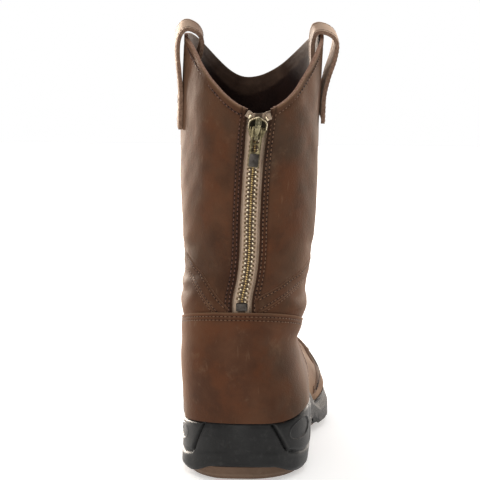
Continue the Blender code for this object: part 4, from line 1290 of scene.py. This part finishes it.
tab = {
    "thick": 1.4,
    "outline": ((2.6, 1.0), (3.5, 0.5), (3.8, -2.0), (3.7, -9.0), (3.6, -13.0), (3.6, -17.0), (3.7, -20.0),
                (3.7, -25.0), (3.4, -25.8), (2.7, -26.2)),
    "window": (2.2, -0.7, -9.9),     # half width, top and foot
    "windowCut": 0.6,            # its lower corners are cut off
    "holeY": -13.4,
    "holeHalf": (2.1, 2.6),
    "plateFrom": -17.0,
    "plateFoot": 0.4,            # the plate stops short of the frame's foot
}


def makeTab():
    half = tab["thick"] / 2.0
    frameFinish = finishes["olive"]
    piece = plate(mirrored(tab["outline"]), -half, half, frameFinish, 0.0)
    wide, top, foot = tab["window"]
    cut = tab["windowCut"]
    window = mirrored([(wide, top), (wide, foot + cut), (wide - cut, foot)])
    carve(piece, plate(window, -2.0, 2.0, frameFinish, 0.0))
    angles = np.linspace(0.0, fullTurn, 24, endpoint=False)
    wide, high = tab["holeHalf"]
    oval = [(wide * math.cos(a), tab["holeY"] + high * math.sin(a)) for a in angles]
    carve(piece, plate(oval, -2.0, 2.0, frameFinish, 0.0))
    roundEdges(piece, 0.3, 2, 40.0)
    cover = mirrored([(x - 0.5, y) for x, y in tab["outline"] if y <= tab["plateFrom"]])
    cover = [(x, max(y, tab["outline"][-1][1] + tab["plateFoot"])) for x, y in cover]
    grip = plate(cover, -half - 0.25, half + 0.35, finishes["gunmetal"], 0.35)
    whole = joinPieces("zipPullTab", [piece, grip])
    moveMesh(whole, hanging(zipFrame(zipPart["sliderZ"], zipPart["pivotOut"])))
    settle(whole, "pull_tab", "dark_brass", "zip_pull_tab", angle=35.0)


makeTape()
makeTeeth()
makeStops()
makeSlider()
makeTab()

# Sole: outsole, moulded cup, toe guard and insole
sole = {
    "heelBevelY": 12.0,
    "heelBevelRise": 2.6,
    "heelEndY": 84.0,
    "archFromY": 104.0,
    "archToY": 148.0,
    "archRise": 7.0,
    "treadFromY": 168.0,
    "springFromY": 228.0,
    "springRun": 78.0,
    "springRise": 16.0,
    "springPower": 1.8,
    "outsoleHeel": 8.0,
    "outsoleToe": 5.0,
    "length": 304.0,
    "gap": 0.3,
}


def treadHeight(y):
    bevel = sole["heelBevelRise"] * np.clip((sole["heelBevelY"] - y) / sole["heelBevelY"], 0.0, 2.0) ** 2
    archIn = smooth((y - sole["heelEndY"]) / (sole["archFromY"] - sole["heelEndY"]))
    archOut = smooth((sole["treadFromY"] - y) / (sole["treadFromY"] - sole["archToY"]))
    spring = np.clip((y - sole["springFromY"]) / sole["springRun"], 0.0, 2.0) ** sole["springPower"]
    return bevel + sole["archRise"] * np.minimum(archIn, archOut) + sole["springRise"] * spring


def outsoleThick(y):
    return between(sole["outsoleHeel"], sole["outsoleToe"], smooth(y / sole["length"]))


def plan(angle, outset, ring=last["rim"]):       # a ring seen from above, moved out
    angle, outset = np.broadcast_arrays(np.asarray(angle, float), outset)
    ahead = skin(angle + 0.002, ring) - skin(angle - 0.002, ring)
    away = unit(np.stack((ahead[..., 1], -ahead[..., 0], 0.0 * angle), -1))
    return skin(angle, ring) + away * outset[..., None]


cup = {
    "columns": 760,
    "rows": 84,
    "endY": 123.0,
    "fade": 6.0,
    "outset": -0.3,
    "clear": 0.6,
    "lipDrop": (6.2, 5.6),       # at the outer and at the inner side
    "lipOut": (-1.6, 1.2),       # and how far it reaches out there
    "innerEase": 2.6,            # the tread is wider on the inner side of the heel
    "lipFromX": 20.0,
    "lipRunX": 16.0,
    "lipEndY": 92.0,
    "lipRunY": 20.0,
    # way up the side: row, share of the height, distance out, share of the lip
    "profile": (
        (0.00, 0.00, -9.0, 0.0),
        (0.04, 0.00, -2.9, 0.0),
        (0.07, 0.00, -2.4, 0.9),
        (0.10, 0.00, 0.6, 1.0),
        (0.13, 0.02, 1.7, 1.0),
        (0.17, 0.07, 2.4, 0.9),
        (0.33, 0.28, 2.8, 0.3),
        (0.38, 0.36, 2.6, 0.0),
        (0.62, 0.66, 2.6, 0.0),
        (0.80, 0.88, 2.2, 0.0),
        (0.88, 0.97, 1.7, 0.0),
        (0.92, 1.00, 1.1, 0.0),
    ),
    "band": 0.34,                # height of the line round the lower band
    "bandFall": 0.07,            # it runs lower along the sides
    "bandFallFrom": 30.0,
    "bandFallRun": 22.0,
    "slantCut": (1.9, 0.9),      # depth and half width of the grooves beside the panel
    "splitCut": (1.5, 1.3),      # and of those between the pods
    "splitLean": 8.0,
    "ledgeCut": (1.3, 0.8),      # and of the step under the pods
    "lensRim": 0.4,
    "lensSink": 0.45,
    "slants": ((20.3, 32.0), (-28.5, -39.0)),    # grooves beside the rear panel: top and foot
    "splits": (66.0, 108.0, -74.0, -112.0),      # between the pods
    "podOut": 1.1,
    "shelf": 0.9,                # the lower band stands out below the pods
    "lenses": ((46.0, 12.5), (87.0, 14.0), (122.0, 8.0), (-57.0, 11.0), (-93.0, 13.0), (-124.0, 7.0)),
    "lensShare": 0.70,
    "lensHalf": 0.19,
    "lensRound": 2.2,
}


def soleArc(angle):                  # signed millimetres round the rim from the back of the heel
    sweep = np.linspace(0.0, math.pi, 600)
    walked = np.linalg.norm(np.diff(plan(sweep, 2.0), axis=0), axis=1)
    walked = np.concatenate(([0.0], np.cumsum(walked)))
    signed = np.where(angle > math.pi, angle - fullTurn, angle)
    return np.sign(signed) * np.interp(np.abs(signed), sweep, walked)


def cupRelief(arc, share, height):
    fall = smooth((np.abs(arc) - cup["bandFallFrom"]) / cup["bandFallRun"])
    bandLine = cup["band"] - cup["bandFall"] * fall
    above = smooth((share - bandLine) * height / 1.2)
    # shine is painted highlight on the pod edges, the ledge and lens rims; dark is painted shade in the
    # grooves
    out, shine, dark, pods, skirt = (0.0 * arc for k in range(5))
    slantDepth, slantHalf = cup["slantCut"]
    splitDepth, splitHalf = cup["splitCut"]
    ledgeDepth, ledgeHalf = cup["ledgeCut"]
    for top, foot in cup["slants"]:
        side = math.copysign(1.0, top)
        line = between(foot, top, np.clip((share - cup["band"]) / (1.0 - cup["band"]), 0.0, 1.0))
        past = (arc - line) * side
        pods = pods + smooth((past - 0.4) / 1.6)
        skirt = skirt + smooth((past - 0.4) / 14.0)
        out = out - slantDepth * bell(past, slantHalf) * above
        dark = dark + bell(past, 0.8) * above
        shine = shine + 0.7 * bell(past - 2.0, 0.55) * above
    for split in cup["splits"]:
        past = arc - split - (share - 0.6) * cup["splitLean"] * math.copysign(1.0, split)
        out = out - splitDepth * bell(past, splitHalf) * above
        dark = dark + 0.8 * bell(past, 0.9) * above
    out = out + cup["podOut"] * pods * above + cup["shelf"] * skirt * (1.0 - above)
    fromBand = (share - bandLine) * height
    out = out - ledgeDepth * pods * bell(fromBand - 0.2, ledgeHalf)
    dark = dark + 0.7 * pods * bell(fromBand - 0.2, 0.7)
    shine = shine + 0.8 * pods * bell(fromBand + 1.4, 0.7)
    for middle, half in cup["lenses"]:
        level = (share - cup["lensShare"]) / cup["lensHalf"]
        reach = np.abs((arc - middle) / half) ** cup["lensRound"] + np.abs(level) ** cup["lensRound"]
        inside = 1.0 - smooth((reach - 0.8) / 0.18)
        out = out + cup["lensRim"] * bell(reach - 1.0, 0.09) - cup["lensSink"] * inside
        shine = shine + 0.55 * bell(reach - 1.0, 0.08)
    return out, np.clip(shine, 0.0, 1.0), np.clip(dark, 0.0, 0.9)


def innerHeel(point):                # 1 along the inner side of the heel
    return smooth(-point[:, 0] / 20.0) * smooth((cup["lipEndY"] - point[:, 1]) / cup["lipRunY"])


def makeCup():
    piece, s, t = gridPiece("cupMidsole", cup["columns"], cup["rows"], (finishes["cupRubber"],))
    angle = s * fullTurn
    arc = soleArc(angle)
    rim = skin(angle, last["rim"])
    fade = smooth((rim[:, 1] - cup["endY"] + cup["fade"]) / cup["fade"])
    floor = skin(angle, 0.0)
    top = between(rimHeight(angle) - sole["gap"], floor[:, 2] + sole["gap"] / 2.0, fade)
    rows = np.array(cup["profile"])
    share, outset, lip = (np.interp(t, rows[:, 0], rows[:, k]) for k in (1, 2, 3))
    flat = plan(angle, 0.0)
    base = treadHeight(flat[:, 1]) + outsoleThick(flat[:, 1]) + sole["gap"]
    onSide = smooth((t - 0.13) / 0.05) * (1.0 - smooth((t - 0.86) / 0.05)) * (1.0 - fade)
    relief, shine, dark = cupRelief(arc, share, top - base)
    wide = outset + relief * onSide + cup["innerEase"] * innerHeel(flat) * (1.0 - smooth((t - 0.07) / 0.02))
    sideways = smooth((np.abs(flat[:, 0]) - cup["lipFromX"]) / cup["lipRunX"])
    wide = wide + lip * sideways * np.where(flat[:, 0] > 0.0, *cup["lipOut"]) * smooth((t - 0.06) / 0.03)
    point = plan(angle, between(wide, cup["outset"] + np.minimum(outset, 0.0), fade))
    drop = np.where(point[:, 0] > 0.0, *cup["lipDrop"])
    drop = drop * smooth((np.abs(point[:, 0]) - cup["lipFromX"]) / cup["lipRunX"])
    drop = drop * smooth((cup["lipEndY"] - point[:, 1]) / cup["lipRunY"])
    base = treadHeight(point[:, 1]) + outsoleThick(point[:, 1]) + sole["gap"]
    point[:, 2] = between(base, top, share) - lip * drop
    down = ringAtHeight(angle, top) * (1.0 - np.clip((t - 0.95) / 0.05, 0.0, 1.0))
    inner = skinOff(angle, down, cup["clear"])
    inner[:, 2] = skin(angle, down)[:, 2] - sole["gap"] * (down <= 0.0)
    point = between(point, inner, np.clip((t - 0.92) / 0.03, 0.0, 1.0)[:, None])
    setCoordinates(piece, place(point))
    # painted highlight on the pod edges and lens rims, painted shade in the grooves
    paint(piece, "wearAndHighlight", shine * onSide * 0.42)
    paint(piece, "seam", dark * onSide)
    weld(piece, close=True)
    settle(piece, "boot", "midsole_rubber", "midsole", angle=60.0)


guard = {
    "columns": 420,
    "rows": 56,
    "fromY": 126.0,
    "top": ((125.0, 31.0), (134.0, 32.3), (168.0, 19.5), (200.0, 24.0), (226.0, 30.5), (262.0, 37.5),
            (304.0, 41.0)),
    "foot": 2.6,
    "tuck": 2.2,
    "gap": 0.6,
    "thick": 2.5,
    "lip": 0.8,                  # thickness at the wavy top edge
    "ribPitch": 11.0,
    "ribDepth": 0.5,
    "endTaper": 48.0,
    # painted shadow at its two ends, beside the cup
    "endShade": 26.0,
}


def guardTop(y):
    rows = guard["top"]
    high = np.full(np.shape(y), rows[-1][1])
    for (y0, z0), (y1, z1) in reversed(list(zip(rows, rows[1:]))):
        high = np.where(y <= y1, between(z0, z1, smooth((y - y0) / (y1 - y0))), high)
    return high


def makeGuard():
    piece, s, t = gridPiece("toeGuard", guard["columns"], guard["rows"], (finishes["guardRubber"],))
    start = float(angleAtY(last["rim"], guard["fromY"]))
    angle = between(start, fullTurn - start, s)
    rim = skin(angle, last["rim"])
    climb = 1.0 - np.abs(2.0 * t - 1.0)          # up the outer face, then down the inner one
    outer = t <= 0.5
    foot = treadHeight(rim[:, 1]) + guard["foot"]
    high = guardTop(rim[:, 1])
    z = between(foot, high, climb)
    ends = smooth(np.minimum(s, 1.0 - s) * guard["endTaper"])
    thick = between(guard["lip"], guard["thick"], smooth((1.0 - climb) / 0.3)) * between(0.15, 1.0, ends)
    line = high - z
    thick = thick + 0.35 * bell(line - 1.6, 1.0) - 0.5 * bell(line - 4.6, 0.8)
    pitch = guard["ribPitch"]
    ribs = guard["ribDepth"] * bell(np.mod(soleArc(angle), pitch) - pitch / 2.0, 0.8)
    ribs = ribs * smooth((0.34 - climb) / 0.1)
    ring = np.maximum(ringAtHeight(angle, z), last["rim"])
    lift = np.clip(upperRelief(angle, ring, skin(angle, ring)), -0.5, 0.8)
    lift = lift * smooth((ring - last["rim"]) / 0.25)
    gap = between(0.1, guard["gap"], smooth((1.0 - climb) / 0.25))
    out = gap + lift + np.where(outer, thick - ribs, 0.0)
    onSkin = skinOff(angle, ring, out)
    tuck = guard["tuck"] * smooth((0.12 - climb) / 0.12)
    hug = smooth((climb - 0.55) / 0.4)           # its top edge turns in to the leather
    below = between(plan(angle, out - tuck), skinOff(angle, ringAtHeight(angle, z), out), hug[:, None])
    point = np.where((z < rim[:, 2])[:, None], below, onSkin)
    point[:, 2] = z
    setCoordinates(piece, place(point))
    # painted highlight along the bead under the top edge, painted shadow at the ends
    paint(piece, "wearAndHighlight", np.where(outer, 0.5 * bell(line - 1.4, 1.0), 0.0))
    paint(piece, "seam", 0.8 * (1.0 - smooth(np.minimum(s, 1.0 - s) * guard["endShade"])))
    weld(piece, close=True)
    settle(piece, "boot", "midsole_rubber", "toe_guard", angle=60.0)


tread = {
    "columns": 300,
    "rows": 150,
    "outsets": (-5.0, -3.6, -3.2),
    "grooves": (28.0, 68.0, 178.0, 196.0, 214.0, 232.0, 251.0),
    "grooveHalf": 2.5,
    "grooveDepth": 3.2,
    "sipePitch": 6.0,
    "sipeDepth": 0.8,
    "sipeWave": (9.0, 2.2),      # length and slope of their zigzag
    # once round the section: along the bottom, up one side, back over the top and down the other
    "across": ((0.0, 0.62, 0.70, 0.92, 1.0), (0.0, 1.0, 1.0, 0.0, 0.0)),
    "share": ((0.0, 0.62, 0.645, 0.70, 0.92, 0.975, 1.0), (0.0, 0.0, 0.3, 1.0, 1.0, 0.3, 0.0)),
    "bottomTo": 0.62,
}


def ladder(angle, across, outset, ring=last["rim"], ease=0.0):   # across the sole between its two edges
    right = plan(angle, outset, ring)
    left = plan(fullTurn - angle, outset + ease, ring)
    return between(left, right, across[..., None])


def makeTread():
    piece, s, t = gridPiece("treadOutsole", tread["columns"], tread["rows"], (finishes["treadRubber"],))
    angle = s * math.pi
    across = np.interp(t, *tread["across"])
    share = np.interp(t, *tread["share"])
    outset = np.interp(share, (0.0, 0.3, 1.0), tread["outsets"])
    ease = cup["innerEase"] * innerHeel(plan(fullTurn - angle, 0.0))
    point = ladder(angle, across, outset, ease=ease)
    y = point[:, 1]
    x = point[:, 0] - inflareAt(y)
    depth = 0.0 * y
    for groove in tread["grooves"]:
        inside = smooth((tread["grooveHalf"] + 0.6 - np.abs(y - groove)) / 0.9)
        depth = np.maximum(depth, tread["grooveDepth"] * inside)
    length, slope = tread["sipeWave"]
    pitch = tread["sipePitch"]
    wave = np.abs(np.mod(y + slope * np.abs(np.mod(x, length) - length / 2.0), pitch) - pitch / 2.0)
    flat = (1.0 - smooth((np.abs(across - 0.5) - 0.4) / 0.04)) * (depth < 0.1)
    depth = depth + tread["sipeDepth"] * smooth((0.75 - wave) / 0.4) * flat
    bottom = (t < tread["bottomTo"]) & (t > 0.0)
    point[:, 2] = treadHeight(y) + share * outsoleThick(y) + np.where(bottom, depth, 0.0)
    setCoordinates(piece, place(point))
    paint(piece, "wearAndHighlight", 0.3 * bell(share - 0.3, 0.1))
    weld(piece, close=True)
    settle(piece, "boot", "outsole_rubber", "outsole", angle=45.0)


insole = {
    "columns": 160,
    "rows": 60,
    "inset": 3.6,
    "thick": 3.6,
    "crown": 0.5,
    "round": (0.0, 0.45, 0.5, 0.95, 1.0),        # once round the section, as on the tread
}


def makeInsole():
    piece, s, t = gridPiece("insoleFootbed", insole["columns"], insole["rows"], (finishes["footbed"],))
    angle = s * math.pi
    across = np.interp(t, insole["round"], (0.0, 1.0, 1.0, 0.0, 0.0))
    share = np.interp(t, insole["round"], (0.0, 0.0, 1.0, 1.0, 0.0))
    point = ladder(angle, across, -insole["inset"], 0.0)
    bowl = insole["crown"] * (1.0 - smooth(np.abs(across - 0.5) / 0.5)) * share
    point[:, 2] = point[:, 2] + share * insole["thick"] - bowl
    setCoordinates(piece, place(point))
    weld(piece, close=True)
    settle(piece, "boot", "footbed", "insole", angle=45.0)


makeCup()
makeGuard()
makeTread()
makeInsole()
sewThreads()

# Studio: pale floor, soft light and the photograph's angle
studio = {
    "azimuth": 4.0,
    "elevation": 9.6,
    "distance": 2.0,
    "aim": (0.0, 0.0, 0.147),
    "aimPixel": (247.0, 252.0),
    "pixels": 480.0,
    "pixelSize": 0.000672,       # metres at the aim
    "sensor": 36.0,
    "skyBack": 1.0,              # the white backdrop
    "skyFront": 0.12,            # the dim room behind the camera
    "floor": (0.86, 0.86, 0.86, 1.0),
    "floorGlow": 0.48,           # the floor is a lit white sheet
    "floorSize": 3.2,
    # name, place, aim height, size, watts, colour
    "lamps": (
        ("leftBox", (-0.95, 1.5, 0.4), 0.12, 0.7, 46.0, (1.0, 0.88, 0.76)),
        ("rightBox", (0.9, 1.5, 0.45), 0.13, 0.7, 16.5, (1.0, 0.88, 0.76)),
        ("topBox", (0.0, 0.2, 1.7), 0.0, 1.6, 12.0, (1.0, 1.0, 1.0)),
        ("frontFill", (-0.4, -2.2, 0.6), 0.1, 1.0, 14.0, (1.0, 0.98, 0.95)),
    ),
}


def lookAt(piece, spot, target):
    way = Vector(target) - Vector(spot)
    piece.location = spot
    piece.rotation_euler = way.to_track_quat("-Z", "Y").to_euler()


def makeStudio():
    scene = bpy.context.scene
    world = bpy.data.worlds.new("studio")
    world.use_nodes = True
    tree = world.node_tree
    start = Wire(tree)
    at = start.node("ShaderNodeTexCoord", {}, {}, 0)
    way = start.node("ShaderNodeSeparateXYZ", {}, {"Vector": at}, "Y")
    room = way.ease(0.0, 0.8) * (studio["skyBack"] - studio["skyFront"]) + studio["skyFront"]
    lit = start.node("ShaderNodeBackground", {}, {"Color": (1.0, 1.0, 1.0, 1.0), "Strength": room})
    seen = start.node("ShaderNodeBackground", {}, {"Color": (1.0, 1.0, 1.0, 1.0), "Strength": 1.0})
    fromCamera = start.node("ShaderNodeLightPath", {}, {}, "Is Camera Ray")
    both = start.node("ShaderNodeMixShader", {}, {"Fac": fromCamera, "Shader": lit, "Shader_001": seen})
    tree.links.new(both.socket, tree.nodes["World Output"].inputs["Surface"])
    scene.world = world
    activate(None)
    bpy.ops.mesh.primitive_plane_add(size=studio["floorSize"], location=(0.0, 0.0, -0.0004))
    floor = bpy.context.object
    floor.name = "studioFloor"
    paper, at = startFinish("palePaper", {"Base Color": studio["floor"], "Roughness": 0.9,
                                          "Emission Color": studio["floor"],
                                          "Emission Strength": studio["floorGlow"]})
    floor.data.materials.append(paper)
    for name, spot, height, size, watts, colour in studio["lamps"]:
        light = bpy.data.lights.new(name, "AREA")
        light.shape = "SQUARE"
        light.size = size
        light.energy = watts
        light.color = colour
        lamp = bpy.data.objects.new(name, light)
        scene.collection.objects.link(lamp)
        lookAt(lamp, spot, (0.0, 0.0, height))
    turn = math.radians(studio["azimuth"])
    tilt = math.radians(studio["elevation"])
    away = Vector((math.sin(turn) * math.cos(tilt), -math.cos(turn) * math.cos(tilt), math.sin(tilt)))
    right = Vector((math.cos(turn), math.sin(turn), 0.0))
    up = away.cross(right)
    middle = studio["pixels"] / 2.0
    shiftRight = (middle - studio["aimPixel"][0]) * studio["pixelSize"]
    shiftUp = (studio["aimPixel"][1] - middle) * studio["pixelSize"]
    target = Vector(studio["aim"]) + right * shiftRight + up * shiftUp
    lens = bpy.data.cameras.new("camera")
    lens.sensor_width = studio["sensor"]
    lens.lens = studio["sensor"] * studio["distance"] / (studio["pixels"] * studio["pixelSize"])
    camera = bpy.data.objects.new("camera", lens)
    scene.collection.objects.link(camera)
    lookAt(camera, target + away * studio["distance"], target)
    scene.camera = camera
    scene.view_settings.view_transform = "Standard"


makeStudio()
